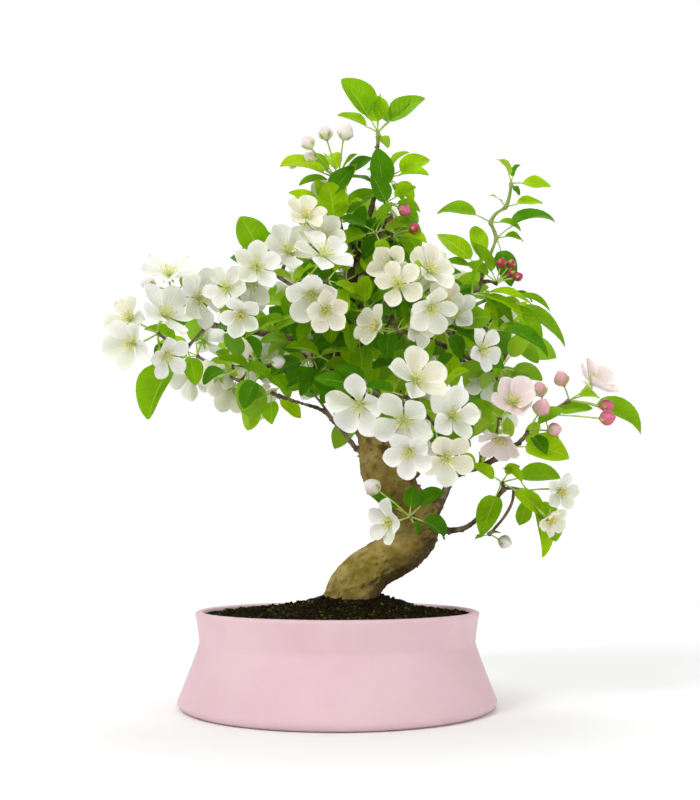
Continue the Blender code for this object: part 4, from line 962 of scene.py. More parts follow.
    def add_fine(self, kind: type, growth: Growth, knob: Knob, count: int,
            reach: Sequence[Sequence[float]]) -> None:
        """Adds smaller leaves or closer blossoms to a spur, where they stay within a box."""
        new, sizes, petal_room = ((self.new_leaf, self.fine_blades, PETAL_ROOM) if kind is Leaf
            else (self.new_blossom, self.fine_stalks, self.fine_petal_room))
        clock = growth.rng.uniform(0, 360)
        for turn in [clock + GOLDEN_ANGLE * number for number in range(count)]:
            self.add_organ(growth, knob, self.fine_tries,
                lambda attempt: new(growth, knob, turn, growth.rng.uniform(*sizes), attempt),
                lambda points: within(points, *reach), petal_room)

    def grow_limb_spurs(self) -> None:
        """Adds short leafy spurs along the upper trunk and the boughs."""
        for limb_name, mass_name, first, last, count in LIMB_SPURS:
            path, girth = map(np.array, limb_line(named(LIMBS, limb_name), 3))
            ways = ways_of(path)
            growth = self.growths[MASSES.index(named(MASSES, mass_name))]
            growth.rng = rng = Random(f"{limb_name} spurs")
            out = compass(growth.mass.facing)[2]
            for number, way in enumerate(np.linspace(first, last, count) * ways[-1]):
                index = min(np.searchsorted(ways, way), len(path) - 1)
                course = unit(path[index] - path[index - 1])
                turn = radians(GOLDEN_ANGLE * number + rng.uniform(-20, 20))
                aside = unit(cos(turn) * np.cross(course, out) + (0.5 + sin(turn)) * out)
                start = point_at(path, ways, way) + aside * np.interp(way, ways, girth) * 0.8
                goal = start + (aside + 0.4 * course) * rng.uniform(0.005, 0.009)
                twig = grow_twig(start, aside, goal, (0.0014, TWIG_RADIUS), rng)
                samples = twig_samples(twig)
                if self.room.off_blossoms(samples) and self.room.off_leaves(samples):
                    growth.twigs.append(twig)
                    knob = Knob(Spur(tuple(goal / MM)), goal, [-aside])
                    self.add_fine(Leaf, growth, knob, self.limb_spur_leaves, self.whole)

    def grow_spurlets(self, growth: Growth) -> list[Knob]:
        """Adds a short side spur to the middle of each twig.

        Returns:
            The ends of the new spurs, which carry nothing yet.
        """
        knobs, added, room, rng = [], [], self.room, growth.rng
        for twig in growth.twigs[1:]:
            start = twig.path[1]
            along = unit(start - twig.path[0])
            for attempt in range(self.fine_tries):
                wish = stray(rng, 1)
                aside = unit(unit(wish - along * (wish @ along)) + 0.5 * along)
                goal = start + aside * self.spurlet_length * rng.uniform(0.7, 1.3)
                new = grow_twig(start, aside, goal, (TWIG_RADIUS, 0.8 * TWIG_RADIUS), rng)
                samples = twig_samples(new, 0.003)
                if (room.off_limbs(samples, 0.002) and room.off_blossoms(samples)
                        and room.off_leaves(samples)):
                    added.append(new)
                    knobs.append(Knob(Spur(tuple(goal / MM)), goal, [-course_at_end(new)]))
                    break
        growth.twigs += added
        return knobs


def within(points: Iterable[Array], low: Sequence[float], high: Sequence[float]) -> bool:
    """Returns whether all points lie in a box."""
    points = np.array(points)
    return bool((points > np.array(low)).all() and (points < np.array(high)).all())


def grain(points: Array, scale: float, seed: float, octaves: int = 2) -> Array:
    """Returns smooth noise, between about -1 and 1.

    Args:
        points: where to read it.
        scale: the size of its features.
        seed: shifts the pattern.
        octaves: how many finer layers it has.
    """
    shift = Vector((seed, 2.3 * seed, -1.7 * seed))
    return np.array([noise.fractal(Vector(p) / scale + shift, 0.7, 2.0, octaves) for p in points])


def sweep(path: Array, radii: Array, sides: int) -> Array:
    """Returns rings of points round a path, counter-clockwise seen from its end."""
    course = np.gradient(path, axis=0)
    course /= norm(course, axis=1)[:, None]
    first = unit(
        np.cross(course[0], (0.23, 0.41, 0.88) if abs(course[0][2]) < 0.9 else (1.0, 0.2, 0.1)))
    turns = np.arange(sides) * tau / sides
    rings = []
    for point, along, radius in zip(path, course, radii):
        first = unit(first - along * (first @ along))
        second = np.cross(along, first)
        rings.append(
            point + radius * (np.cos(turns)[:, None] * first + np.sin(turns)[:, None] * second))
    return np.array(rings)


def grid_quads(rows: int, columns: int, closed: bool) -> Array:
    """Returns the faces of a grid of points, closed round its rows or open."""
    found = []
    for row in range(rows - 1):
        for column in range(columns if closed else columns - 1):
            after = (column + 1) % columns
            low, high = row * columns, (row + 1) * columns
            found.append((low + column, low + after, high + after, high + column))
    return np.array(found)


def fine_path(points: Sequence[Array], radii: Sequence[float],
        per_span: int) -> tuple[Array, Array]:
    """Returns a twig's points and radii on a smooth curve."""
    line = smooth([Vector(p) for p in points], per_span)
    girth = smooth([Vector((r, 0, 0)) for r in radii], per_span)
    return np.array(line), np.array([g.x for g in girth])


class Batch:
    """Gathers the faces of one kind of thing and joins them into one piece."""

    def __init__(self, name: str, slot: str, finishes: Sequence[Material]) -> None:
        """Names the piece and the materials that its faces may take; the slot is not used."""
        self.name = name
        self.slot = slot
        self.finishes = list(finishes)
        self.points: list[Array] = []
        self.uvs: list[Array] = []
        self.faces: dict[int, list[Array]] = {3: [], 4: []}
        self.tints: dict[int, list[Array]] = {3: [], 4: []}
        self.count = 0

    def add(self, points: Array, faces: Array, tint: int | Array, uvs: Array | None = None,
            more: Array | None = None) -> None:
        """Adds points and the faces on them.

        Args:
            points: the places of the new points, one row each.
            faces: indices into those points, three or four in a row.
            tint: the material of all the faces, or of each.
            uvs: the pattern coordinates of the points.
            more: faces with the other number of corners, on the same points.
        """
        self.points.append(points)
        self.uvs.append(np.zeros((len(points), 2)) if uvs is None else uvs)
        for some in (faces, more):
            if some is not None:
                self.faces[some.shape[1]].append(some + self.count)
                self.tints[some.shape[1]].append(np.broadcast_to(tint, len(some)))
        self.count += len(points)

    def add_sheet(self, rows: list[Array], along: Sequence[float], across: Sequence[float],
            tint: int) -> None:
        """Adds a blade or a petal from its rows of points, patterned from 0 to 1 both ways."""
        uvs = [(0.5 + 0.5 * side, share) for share in along for side in across]
        quads = grid_quads(len(along), len(across), False)[:, ::-1]
        self.add(np.array(rows), quads, tint, np.array(uvs))

    def add_turned(self, profile: Sequence[tuple[float, float]], sides: int) -> None:
        """Adds a profile of radii and heights turned round the z axis, facing outwards."""
        turns = np.arange(sides) * tau / sides
        ring = np.column_stack([np.cos(turns), np.sin(turns)])
        rows = [
            np.column_stack([ring * radius, np.full(sides, height)]) for radius, height in profile]
        self.add(np.vstack(rows), grid_quads(len(rows), sides, True)[:, ::-1], 0)

    def add_tube(self, path: Sequence[Array], radii: Sequence[float], sides: int, tint: int,
            pointed: bool = True) -> None:
        """Adds a tube round a path, closed by a point at its end if asked."""
        path, radii = np.array(path), np.array(radii)
        uvs = np.stack([np.tile(np.arange(sides) / sides, len(path)),
            np.repeat(ways_of(path), sides) / 0.01], axis=1)
        points, fan = sweep(path, radii, sides).reshape(-1, 3), None
        if pointed:
            points = np.vstack([points, path[-1] + unit(path[-1] - path[-2]) * radii[-1] * 0.6])
            uvs = np.vstack([uvs, uvs[-1]])
            last = (len(path) - 1) * sides
            fan = np.array(
                [(last + i, last + (i + 1) % sides, len(points) - 1) for i in range(sides)])
        self.add(points, grid_quads(len(path), sides, True), tint, uvs, fan)

    def build(self) -> Object:
        """Joins all that was added into one object."""
        mesh = bpy.data.meshes.new(self.name)
        points, uvs = np.vstack(self.points), np.vstack(self.uvs)
        loops, starts, tints, at = [], [], [], 0
        for corners in (3, 4):
            if not self.faces[corners]:
                continue
            faces = np.vstack(self.faces[corners])
            loops.append(faces.ravel())
            starts.append(at + corners * np.arange(len(faces)))
            tints.append(np.concatenate(self.tints[corners]))
            at += faces.size
        loops, starts, tints = map(np.concatenate, (loops, starts, tints))
        mesh.vertices.add(len(points))
        mesh.vertices.foreach_set("co", points.astype(np.float32).ravel())
        mesh.loops.add(len(loops))
        mesh.loops.foreach_set("vertex_index", loops.astype(np.int32))
        mesh.polygons.add(len(starts))
        mesh.polygons.foreach_set("loop_start", starts.astype(np.int32))
        mesh.polygons.foreach_set("material_index", tints.astype(np.int32))
        layer = mesh.uv_layers.new(name="UVMap")
        mesh.update(calc_edges=True)
        layer.data.foreach_set("uv", uvs[loops].astype(np.float32).ravel())
        for finish in self.finishes:
            mesh.materials.append(finish)
        mesh.shade_smooth()
        made = bpy.data.objects.new(self.name, mesh)
        bpy.context.scene.collection.objects.link(made)
        return made


def settle(piece: Object, nodes: Iterable[str]) -> Object:
    """Fixes a finished piece to the model and logs it.

    Args:
        piece: the piece.
        nodes: the solids that it stands for.
    """
    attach(piece, "root")
    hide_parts(*nodes)
    LOG.info("%s: %d faces", piece.name, len(piece.data.polygons))
    return piece


class Tree:
    """A node tree with short calls to add and join nodes."""

    def __init__(self, tree: NodeTree) -> None:
        """Wraps a tree."""
        self.tree = tree

    def add(self, kind: str, inputs: dict | None = None, **settings) -> Node:
        """Adds a node.

        Args:
            kind: the node's type, or what follows ShaderNode in it.
            inputs: a value or a socket for each named input.
            settings: the node's own properties.

        Returns:
            The new node.
        """
        node = self.tree.nodes.new(kind if "Node" in kind else f"ShaderNode{kind}")
        for name, value in settings.items():
            setattr(node, name, value)
        return self.feed(node, inputs or {})

    def feed(self, node: Node, inputs: dict) -> Node:
        """Gives a node's inputs their values, colours or sockets, and returns the node."""
        for name, value in inputs.items():
            socket = node.inputs[name]
            if isinstance(value, NodeSocket):
                self.tree.links.new(value, socket)
            else:
                socket.default_value = (*value, 1.0) if socket.type == "RGBA" else value
        return node

    def give(self, **results: NodeSocket) -> NodeTree:
        """Puts the named results out of a shader node group and returns the group."""
        for name, result in results.items():
            kind = "NodeSocketColor" if result.type == "RGBA" else "NodeSocketFloat"
            self.tree.interface.new_socket(name=name, in_out="OUTPUT", socket_type=kind)
        self.add("NodeGroupOutput", results)
        return self.tree

    def math(self, operation: str, first: Feed, second: Feed = 0.0,
            third: Feed = 0.0) -> NodeSocket:
        """Adds a sum of two or three values and returns its result."""
        inputs = {0: first, 1: second, 2: third}
        return self.add("Math", inputs, operation=operation).outputs[0]

    def times(self, first: Feed, second: Feed) -> NodeSocket:
        """Returns a product."""
        return self.math("MULTIPLY", first, second)

    def fold(self, value: Feed) -> NodeSocket:
        """Returns how far a share from 0 to 1 lies from its middle, up to 1."""
        return self.math("ABSOLUTE", self.math("MULTIPLY_ADD", value, 2.0, -1.0))

    def blend(self, share: Feed, first: Feed, second: Feed) -> NodeSocket:
        """Returns a mix of two colours."""
        return self.add("Mix", {0: share, 6: first, 7: second}, data_type="RGBA").outputs[2]

    def coat(self, under: Feed, colour: Feed, mask: Feed, share: float) -> NodeSocket:
        """Returns a colour laid thinly over another, as far as a mask and a share let it."""
        return self.blend(self.times(mask, share), under, colour)

    def cloud(self, where: NodeSocket, scale: float, detail: float = 2.0) -> NodeSocket:
        """Returns a noise pattern."""
        inputs = {"Vector": where, "Scale": scale, "Detail": detail}
        return self.add("TexNoise", inputs).outputs["Fac"]

    def ramp(self, value: Feed, low: float, high: float) -> NodeSocket:
        """Returns a smooth step from low to high."""
        inputs = {0: value, 1: low, 2: high}
        return self.add("MapRange", inputs, interpolation_type="SMOOTHSTEP").outputs[0]

    def place(self) -> NodeSocket:
        """Returns the place on the object, in metres."""
        return self.add("TexCoord").outputs["Object"]

    def sheet(self) -> tuple[NodeSocket, NodeSocket]:
        """Returns the places across and along a blade or a petal, from 0 to 1."""
        place = self.add("UVMap", uv_map="UVMap").outputs[0]
        return tuple(self.add("SeparateXYZ", {0: place}).outputs)[:2]

    def turned_to(self, way: Triple) -> NodeSocket:
        """Returns how much the surface is turned towards a direction."""
        inputs = {0: self.add("NewGeometry").outputs["Normal"], 1: way}
        return self.add("VectorMath", inputs, operation="DOT_PRODUCT").outputs["Value"]


def start_group(name: str) -> Tree:
    """Returns the tree of a new shader node group."""
    return Tree(bpy.data.node_groups.new(name, "ShaderNodeTree"))


def leaf_vein_group() -> NodeTree:
    """Makes the masks of a leaf's side veins, its midrib and its pale foot."""
    tree = start_group("leaf_veins")
    across, along = tree.sheet()
    side = tree.fold(across)
    slanted = tree.math("SUBTRACT", along, tree.times(side, 0.24))
    line = tree.ramp(tree.fold(tree.math("FRACT", tree.times(slanted, 7.0))), 0.8, 1.0)
    fade = tree.math("SUBTRACT", 1.0, tree.math("POWER", side, 3.0))
    tip = tree.math("MULTIPLY_ADD", along, -0.03, 0.062)
    rib = tree.add("MapRange", {0: side, 1: tip, 2: 0.012}).outputs[0]
    return tree.give(Vein=tree.times(line, fade), Rib=rib, Foot=tree.ramp(along, 0.34, 0.0))


def petal_streak_group() -> NodeTree:
    """Makes the masks of a petal's fine lines, its middle for painted shade and its rim for a
    painted highlight.
    """
    tree = start_group("petal_streaks")
    across, along = tree.sheet()
    side = tree.fold(across)
    ridge = tree.fold(tree.math("FRACT", tree.times(across, 7.0)))
    streak = tree.times(tree.ramp(ridge, 0.4, 1.0), tree.ramp(along, 1.05, 0.25))
    # Painted shade: the middle of the petal, away from its sides and end, as if in the shade of its
    # cup.
    middle = tree.times(tree.ramp(side, 0.95, 0.25), tree.ramp(along, 1.0, 0.72))
    # Painted highlight: the sides and the end of the petal are made lighter, as where curled edges
    # catch the light.
    rim = tree.math("MAXIMUM", tree.ramp(side, 0.74, 1.0), tree.ramp(along, 0.88, 1.0))
    rim = tree.times(rim, tree.ramp(along, 0.35, 0.6))
    return tree.give(Streak=streak, Middle=middle, Rim=rim)


def bark_group() -> NodeTree:
    """Makes the bark's colour and height from place, girth, scars, moisture and painted light and
    shade.
    """
    tree = start_group("bark_skin")
    where = tree.place()
    girth, scar_and_shade, moist = (tree.add("Attribute", attribute_name=name).outputs["Fac"]
        for name in ("girth", "scar_and_shade", "moist"))
    broad, middle = tree.cloud(where, 34.0, 3.0), tree.cloud(where, 120.0, 4.0)
    fine = tree.cloud(where, 620.0, 3.0)
    khaki = tree.blend(tree.ramp(broad, 0.36, 0.64), (0.195, 0.128, 0.02), (0.365, 0.262, 0.066))
    khaki = tree.coat(khaki, (0.45, 0.345, 0.12), tree.ramp(middle, 0.48, 0.74), 0.5)
    khaki = tree.coat(khaki, (0.15, 0.09, 0.016), tree.ramp(middle, 0.5, 0.3), 0.4)
    thin = tree.blend(tree.ramp(middle, 0.36, 0.62), (0.085, 0.056, 0.03), (0.27, 0.205, 0.135))
    # The dark brown laid on stout wood above about 0.18 m is partly rougher old bark and partly
    # painted shade under the crown.
    old_bark_and_shade = tree.blend(tree.ramp(middle, 0.38, 0.66), (0.042, 0.022, 0.006), (0.15, 0.092, 0.036))
    skin = tree.blend(tree.ramp(girth, 0.22, 0.5), thin, khaki)
    high = tree.ramp(tree.add("SeparateXYZ", {0: where}).outputs[2], 0.166, 0.196)
    skin = tree.blend(tree.times(high, tree.ramp(girth, 0.22, 0.38)), skin, old_bark_and_shade)
    green = tree.ramp(tree.math("ADD", broad, moist), 0.62, 1.25)
    skin = tree.coat(skin, (0.185, 0.165, 0.006), green, 0.75)
    # Dark scars, rings and knot middles; the knots on the right flank of the bend are partly painted
    # shade.
    skin = tree.coat(skin, (0.04, 0.024, 0.008), scar_and_shade, 0.85)
    skin = tree.coat(skin, (0.07, 0.045, 0.018), tree.ramp(fine, 0.6, 0.74), 0.4)
    pits = tree.add("TexVoronoi", {"Vector": where, "Scale": 210.0}).outputs["Distance"]
    pit = tree.ramp(pits, 0.26, 0.12)
    skin = tree.coat(skin, (0.085, 0.05, 0.016), pit, 0.55)
    # Painted highlight: stout bark is made a pale tan in patches where it faces up and to the front
    # left, towards the key light.
    painted_highlight = tree.ramp(tree.turned_to((-0.55, -0.35, 0.75)), 0.3, 1.0)
    painted_highlight = tree.times(tree.times(painted_highlight, tree.ramp(middle, 0.34, 0.66)), tree.ramp(girth, 0.4, 0.8))
    skin = tree.coat(skin, (0.52, 0.405, 0.155), painted_highlight, 0.55)
    # Painted shade: the bark is made dark brown where it faces down and to the right, away from the
    # key light, in broad patches.
    painted_shade = tree.math("MULTIPLY_ADD", broad, 0.5, tree.turned_to((0.66, 0.05, -0.75)))
    skin = tree.coat(skin, (0.055, 0.036, 0.01), tree.ramp(painted_shade, 0.2, 1.05), 0.85)
    height = tree.math("MULTIPLY_ADD", pit, -0.25, tree.times(middle, 0.7))
    return tree.give(Colour=skin, Height=tree.math("ADD", height, tree.times(fine, 0.4)))


class Finish(Tree):
    """A material with one Principled shader on its output."""

    def __init__(self, name: str, colour: Colour, roughness: float, specular: float = 0.5) -> None:
        """Starts the material."""
        self.made = bpy.data.materials.new(name)
        self.made.use_nodes = True
        self.made.diffuse_color = (*colour, 1.0)
        super().__init__(self.made.node_tree)
        self.shader = self.feed(self.tree.nodes["Principled BSDF"],
            {"Base Color": colour, "Roughness": roughness, "Specular IOR Level": specular})

    def let_light_through(self, colour: Colour, share: float) -> None:
        """Mixes light from behind into a thin sheet."""
        glow = self.add("BsdfTranslucent", {"Color": colour}).outputs[0]
        mix = self.add("MixShader", {0: share, 1: self.shader.outputs[0], 2: glow})
        self.feed(self.tree.nodes["Material Output"], {0: mix.outputs[0]})

    def coated(self, skin: NodeSocket, height: NodeSocket, depth: float) -> Material:
        """Sets the colour and a relief that only shades, and returns the material."""
        bump = self.add("Bump", {"Height": height, "Distance": depth})
        self.feed(self.shader, {"Base Color": skin, "Normal": bump.outputs[0]})
        return self.made


class Finishes:
    """Keeps the shared patterns, and makes the materials of wood, pot and soil."""

    def __init__(self) -> None:
        """Prepares the shared patterns."""
        self.leaf_veins = leaf_vein_group()
        self.petal_streaks = petal_streak_group()
        self.bark_skin = bark_group()

    def bark(self) -> Material:
        """Returns the bark of trunk and boughs."""
        made = Finish("bark_dressed", (0.25, 0.18, 0.08), 0.66, 0.16)
        skin = made.add("Group", node_tree=self.bark_skin).outputs
        return made.coated(skin["Colour"], skin["Height"], 0.0007)

    def glaze(self) -> Material:
        """Returns the pot's matt pink skin with its faint mottling and pinholes."""
        made = Finish("pink_glaze", (0.75, 0.52, 0.57), 0.5, 0.35)
        where = made.place()
        mottle = made.ramp(made.cloud(where, 22.0, 4.0), 0.3, 0.7)
        skin = made.blend(mottle, (0.735, 0.505, 0.55), (0.772, 0.545, 0.59))
        grit = made.cloud(where, 900.0)
        skin = made.coat(skin, (0.62, 0.4, 0.45), made.ramp(grit, 0.66, 0.74), 0.25)
        relief = made.math("ADD", made.times(grit, 0.25), made.cloud(where, 140.0, 3.0))
        return made.coated(skin, relief, 0.00025)

    def earth(self) -> Material:
        """Returns damp soil with crumbs, pale grains and moss."""
        made = Finish("damp_earth", (0.03, 0.02, 0.012), 0.9, 0.04)
        where = made.place()
        crumb = made.cloud(where, 420.0, 4.0)
        skin = made.blend(made.ramp(crumb, 0.35, 0.7), (0.004, 0.003, 0.001), (0.024, 0.016, 0.006))
        moss = made.ramp(made.cloud(where, 46.0, 3.0), 0.52, 0.66)
        skin = made.coat(skin, (0.045, 0.055, 0.01), moss, 0.5)
        pale = made.ramp(made.cloud(where, 700.0, 1.0), 0.72, 0.78)
        return made.coated(made.blend(pale, skin, (0.3, 0.24, 0.16)), crumb, 0.0012)


@dataclass(frozen=True)
class LeafFinish:
    """A leaf's blade: veined and satiny, and paler below."""

    name: str
    upper: Colour
    lower: Colour
    glow: Colour

    def make(self, shared: Finishes) -> Material:
        """Makes the material with the shared patterns."""
        made = Finish(self.name, self.upper, 0.46, 0.05)
        masks = made.add("Group", node_tree=shared.leaf_veins).outputs
        pale = tuple(min(1.0, 1.35 * c + 0.05) for c in self.upper[:2]) + (0.03,)
        ridge = tuple(c * 0.7 + f for c, f in zip(pale, (0.2, 0.22, 0.06)))
        patch = made.ramp(made.cloud(made.place(), 110.0), 0.3, 0.7)
        top = made.blend(patch, tuple(0.72 * c for c in self.upper), self.upper)
        top = made.coat(top, pale, masks["Foot"], 0.35)
        top = made.coat(top, pale, masks["Vein"], 0.2)
        top = made.coat(top, ridge, masks["Rib"], 0.75)
        made.let_light_through(self.glow, 0.24)
        back = made.add("NewGeometry").outputs["Backfacing"]
        return made.coated(made.blend(back, top, self.lower), masks["Vein"], -0.0004)


@dataclass(frozen=True)
class PetalFinish:
    """A petal: soft, thin, finely lined, greenish at its narrow foot, with painted shade and a
    painted highlight.
    """

    name: str
    colour: Colour
    streak: Colour
    glow: Colour

    def make(self, shared: Finishes) -> Material:
        """Makes the material with the shared patterns."""
        made = Finish(self.name, self.colour, 0.6, 0.2)
        masks = made.add("Group", node_tree=shared.petal_streaks).outputs
        # The rim colour is a painted highlight, a little lighter than the petal.
        rim = tuple(min(1.0, 1.06 * c) for c in self.colour)
        foot = tuple(c * f for c, f in zip(self.colour, (0.8, 0.88, 0.4)))
        # Painted shade darkens the middle, fine lines follow, and a painted highlight lightens the
        # rim.
        skin = made.coat(self.colour, self.streak, masks["Middle"], 0.42)
        skin = made.coat(skin, self.streak, masks["Streak"], 0.34)
        skin = made.coat(skin, rim, masks["Rim"], 0.7)
        skin = made.coat(skin, foot, made.ramp(made.sheet()[1], 0.4, 0.04), 0.7)
        crinkle = made.cloud(made.place(), 260.0)
        made.let_light_through(self.glow, 0.16)
        relief = made.math("MULTIPLY_ADD", masks["Streak"], -0.35, crinkle)
        return made.coated(skin, relief, 0.0007)


@dataclass(frozen=True)
class PlainFinish:
    """A small part's skin: two tones in patches with a fine relief."""

    name: str
    colour: Colour
    other: Colour
    scale: float
    roughness: float
    depth: float = 0.0001
    specular: float = 0.2

    def make(self, shared: Finishes) -> Material:
        """Makes the material with the shared patterns."""
        made = Finish(self.name, self.colour, self.roughness, self.specular)
        patch = made.cloud(made.place(), self.scale, 3.0)
        skin = made.blend(made.ramp(patch, 0.36, 0.64), self.colour, self.other)
        return made.coated(skin, patch, self.depth)


# The foliage's pieces with their slots, and the finishes that are dealt to their faces
PAINTS = (
    ("twigs", "bark", (
        PlainFinish("twig_bark", (0.09, 0.058, 0.032), (0.26, 0.19, 0.12), 260.0, 0.7, 0.0005),
        PlainFinish("shoot_green", (0.22, 0.3, 0.06), (0.3, 0.38, 0.1), 200.0, 0.55, 0.0003))),
    ("stalks", "blossom_and_leaf", (
        PlainFinish("stalk_green", (0.36, 0.52, 0.06), (0.5, 0.66, 0.16), 160.0, 0.5),
        PlainFinish("stalk_reddish", (0.24, 0.22, 0.06), (0.26, 0.12, 0.06), 160.0, 0.5))),
    ("leaves", "blossom_and_leaf", (
        LeafFinish("leaf_bright", (0.35, 0.6, 0.002), (0.29, 0.47, 0.03), (0.55, 0.92, 0.01)),
        LeafFinish("leaf_middle", (0.19, 0.395, 0.002), (0.23, 0.4, 0.03), (0.38, 0.78, 0.01)),
        LeafFinish("leaf_deep", (0.068, 0.225, 0.002), (0.15, 0.3, 0.03), (0.18, 0.52, 0.01)),
        LeafFinish("leaf_young", (0.33, 0.52, 0.035), (0.34, 0.5, 0.1), (0.6, 0.88, 0.06)),
        LeafFinish("leaf_yellow", (0.42, 0.66, 0.002), (0.36, 0.56, 0.03), (0.7, 0.98, 0.01)))),
    ("petals", "blossom_and_leaf", (
        PetalFinish("petal_white", (0.98, 0.975, 0.94), (0.76, 0.77, 0.64), (1.0, 0.99, 0.91)),
        PetalFinish("petal_cream", (0.96, 0.93, 0.8), (0.74, 0.71, 0.48), (0.98, 0.95, 0.76)),
        PetalFinish("petal_blush", (0.92, 0.83, 0.81), (0.82, 0.62, 0.62), (0.96, 0.86, 0.83)),
        PetalFinish("petal_shade", (0.91, 0.92, 0.82), (0.66, 0.69, 0.5), (0.9, 0.92, 0.74)))),
    ("stamens", "blossom_and_leaf", (
        PlainFinish("filament", (0.72, 0.84, 0.3), (0.84, 0.92, 0.46), 400.0, 0.6),
        PlainFinish("anther", (0.96, 0.86, 0.24), (0.9, 0.76, 0.12), 900.0, 0.7))),
    ("buds", "blossom_and_leaf", (
        PetalFinish("bud_pale", (0.94, 0.9, 0.85), (0.86, 0.68, 0.66), (0.96, 0.9, 0.84)),
        PetalFinish("bud_pink", (0.86, 0.56, 0.58), (0.78, 0.32, 0.38), (0.92, 0.58, 0.58)),
        PetalFinish("bud_rose", (0.74, 0.2, 0.3), (0.6, 0.09, 0.17), (0.85, 0.28, 0.36)),
        PetalFinish("bud_deep", (0.6, 0.065, 0.15), (0.44, 0.03, 0.08), (0.7, 0.12, 0.2)))))

# What lies on the soil: the finish, how many on a square metre, the radii and the seed
SCATTERED = (
    ("soil_crumbs",
        PlainFinish("crumb_dark", (0.005, 0.004, 0.002), (0.026, 0.018, 0.006), 500.0, 0.95,
            0.0001, 0.04),
        90000.0, 0.0007, 0.0021, 3),
    ("soil_grit",
        PlainFinish("crumb_pale", (0.1, 0.075, 0.035), (0.24, 0.19, 0.11), 700.0, 0.9,
            0.0001, 0.05),
        1600.0, 0.0004, 0.0009, 5),
    ("soil_moss",
        PlainFinish("moss", (0.035, 0.05, 0.006), (0.085, 0.11, 0.012), 800.0, 0.9, 0.0001, 0.04),
        16000.0, 0.0006, 0.0016, 8))


@dataclass(frozen=True)
class Wood:
    """Trunk, root flare, boughs, callus and stubs under one skin of bark.

    Each flare of the roots has its turn in degrees, and its reach and radius in millimetres.
    """

    finishes: Finishes
    foot_height: float = 0.0575
    flare_height: float = 0.078
    flares: tuple[Triple, ...] = ((165, 19, 6.5), (215, 16, 6.0), (275, 15, 5.5), (350, 19, 7.0),
        (70, 19, 6.0))
    collar: float = 0.55
    bud_spacing: float = 0.0085
    voxel: float = 0.0008
    lines: list[tuple[Limb, list[Vector], list[float]]] = field(
        default_factory=lambda: [(limb, *limb_line(limb, 3)) for limb in LIMBS])

    def raw_solids(self) -> Batch:
        """Returns closed tubes for the limbs, the flaring roots, the callus and the stubs."""
        batch = Batch("wood", "bark", [])
        for limb, points, radii in self.lines:
            path, girth = np.array(points), np.array(radii)
            if limb.name != "trunk":
                away = ways_of(path)
                collar = self.collar * np.clip((girth[0] - 0.0017) / 0.0015, 0.1, 1)
                girth = girth * (1 + collar * np.exp(-((away - 0.01) / 0.008) ** 2))
                self.add_buds(batch, path, girth)
            self.add_closed(batch, path, girth, 24 if limb.name == "trunk" else 12)
        centre = np.array(LIMBS[0].points[1]) * MM
        for turn, reach, radius in self.flares:
            outward = np.array((cos(radians(turn)), sin(radians(turn)), 0))
            low = np.array((*centre[:2], self.foot_height - 0.004)) + outward * reach * MM
            high = np.array((*centre[:2], self.flare_height)) + outward * 0.004
            middle = (low + high) / 2 - outward * 0.001
            radii = radius * MM, radius * MM, radius * MM * 0.8
            self.add_closed(batch, *fine_path((low, middle, high), radii, 4), 14)
        for start, end, thick, thin in STUBS:
            ends = np.array(start) * MM, np.array(end) * MM
            self.add_closed(batch, *fine_path(ends, (thick * MM, thin * MM), 4), 10)
        return batch

    def add_buds(self, batch: Batch, path: Array, girth: Array) -> None:
        """Adds the small side buds and old scars that stand out along a bough."""
        ways = ways_of(path)
        for number, way in enumerate(np.arange(0.011, ways[-1] - 0.002, self.bud_spacing)):
            at = point_at(path, ways, way)
            course = unit(path[min(np.searchsorted(ways, way), len(path) - 1)] - path[0])
            aside = around(*axes(course), radians(GOLDEN_ANGLE * number))
            radius = np.interp(way, ways, girth)
            tip = at + aside * (radius + 0.0011) + course * 0.0012
            bent = fine_path((at, (at + tip) / 2, tip), (0.8 * radius, 0.0011, 0.0008), 2)
            self.add_closed(batch, *bent, 8)

    def add_closed(self, batch: Batch, path: Array, radii: Array, sides: int) -> None:
        """Adds a tube with both ends closed."""
        rings = sweep(path, radii, sides)
        ends = [path[0] - unit(path[1] - path[0]) * radii[0] * 0.5,
            path[-1] + unit(path[-1] - path[-2]) * radii[-1] * 0.5]
        tail, last = len(path) * sides, (len(path) - 1) * sides
        caps = [((i + 1) % sides, i, tail) for i in range(sides)]
        caps += [(last + i, last + (i + 1) % sides, tail + 1) for i in range(sides)]
        batch.add(np.vstack([rings.reshape(-1, 3), ends]), grid_quads(len(path), sides, True), 0,
            more=np.array(caps))

    def build(self) -> Object:
        """Fuses the solids, softens the joints and carves the relief."""
        body = self.raw_solids().build()
        fuse = body.modifiers.new("fuse", "REMESH")
        fuse.mode, fuse.voxel_size = "VOXEL", self.voxel
        soften = body.modifiers.new("soften", "SMOOTH")
        soften.factor, soften.iterations = 0.5, 5
        plain_mesh(body)
        self.carve(body)
        self.cut_foot(body)
        body.data.materials.clear()
        body.data.materials.append(self.finishes.bark())
        body.data.shade_smooth()
        return settle(body, [limb.name for limb in LIMBS])

    def nearest(self, points: Array) -> tuple[Array, Array]:
        """Returns the radius of the limb at each point, and the way along it."""
        starts, ends, girths, ways = [], [], [], []
        for _, line, radii in self.lines:
            way = 0.0
            for a, b, radius in zip(line, line[1:], radii):
                starts.append(a)
                ends.append(b)
                girths.append(radius)
                ways.append(way)
                way += (b - a).length
        starts, ends, girths, ways = map(np.array, (starts, ends, girths, ways))
        along = ends - starts
        size = (along ** 2).sum(-1)
        picked, shares = np.zeros(len(points), int), np.zeros(len(points))
        for low in range(0, len(points), 4000):
            some = points[low:low + 4000, None, :]
            share = np.clip(((some - starts) * along).sum(-1) / size, 0, 1)
            away = norm(some - starts - share[..., None] * along, axis=-1) - girths
            best = away.argmin(1)
            picked[low:low + 4000] = best
            shares[low:low + 4000] = share[np.arange(len(best)), best]
        return girths[picked], ways[picked] + shares * np.sqrt(size[picked])

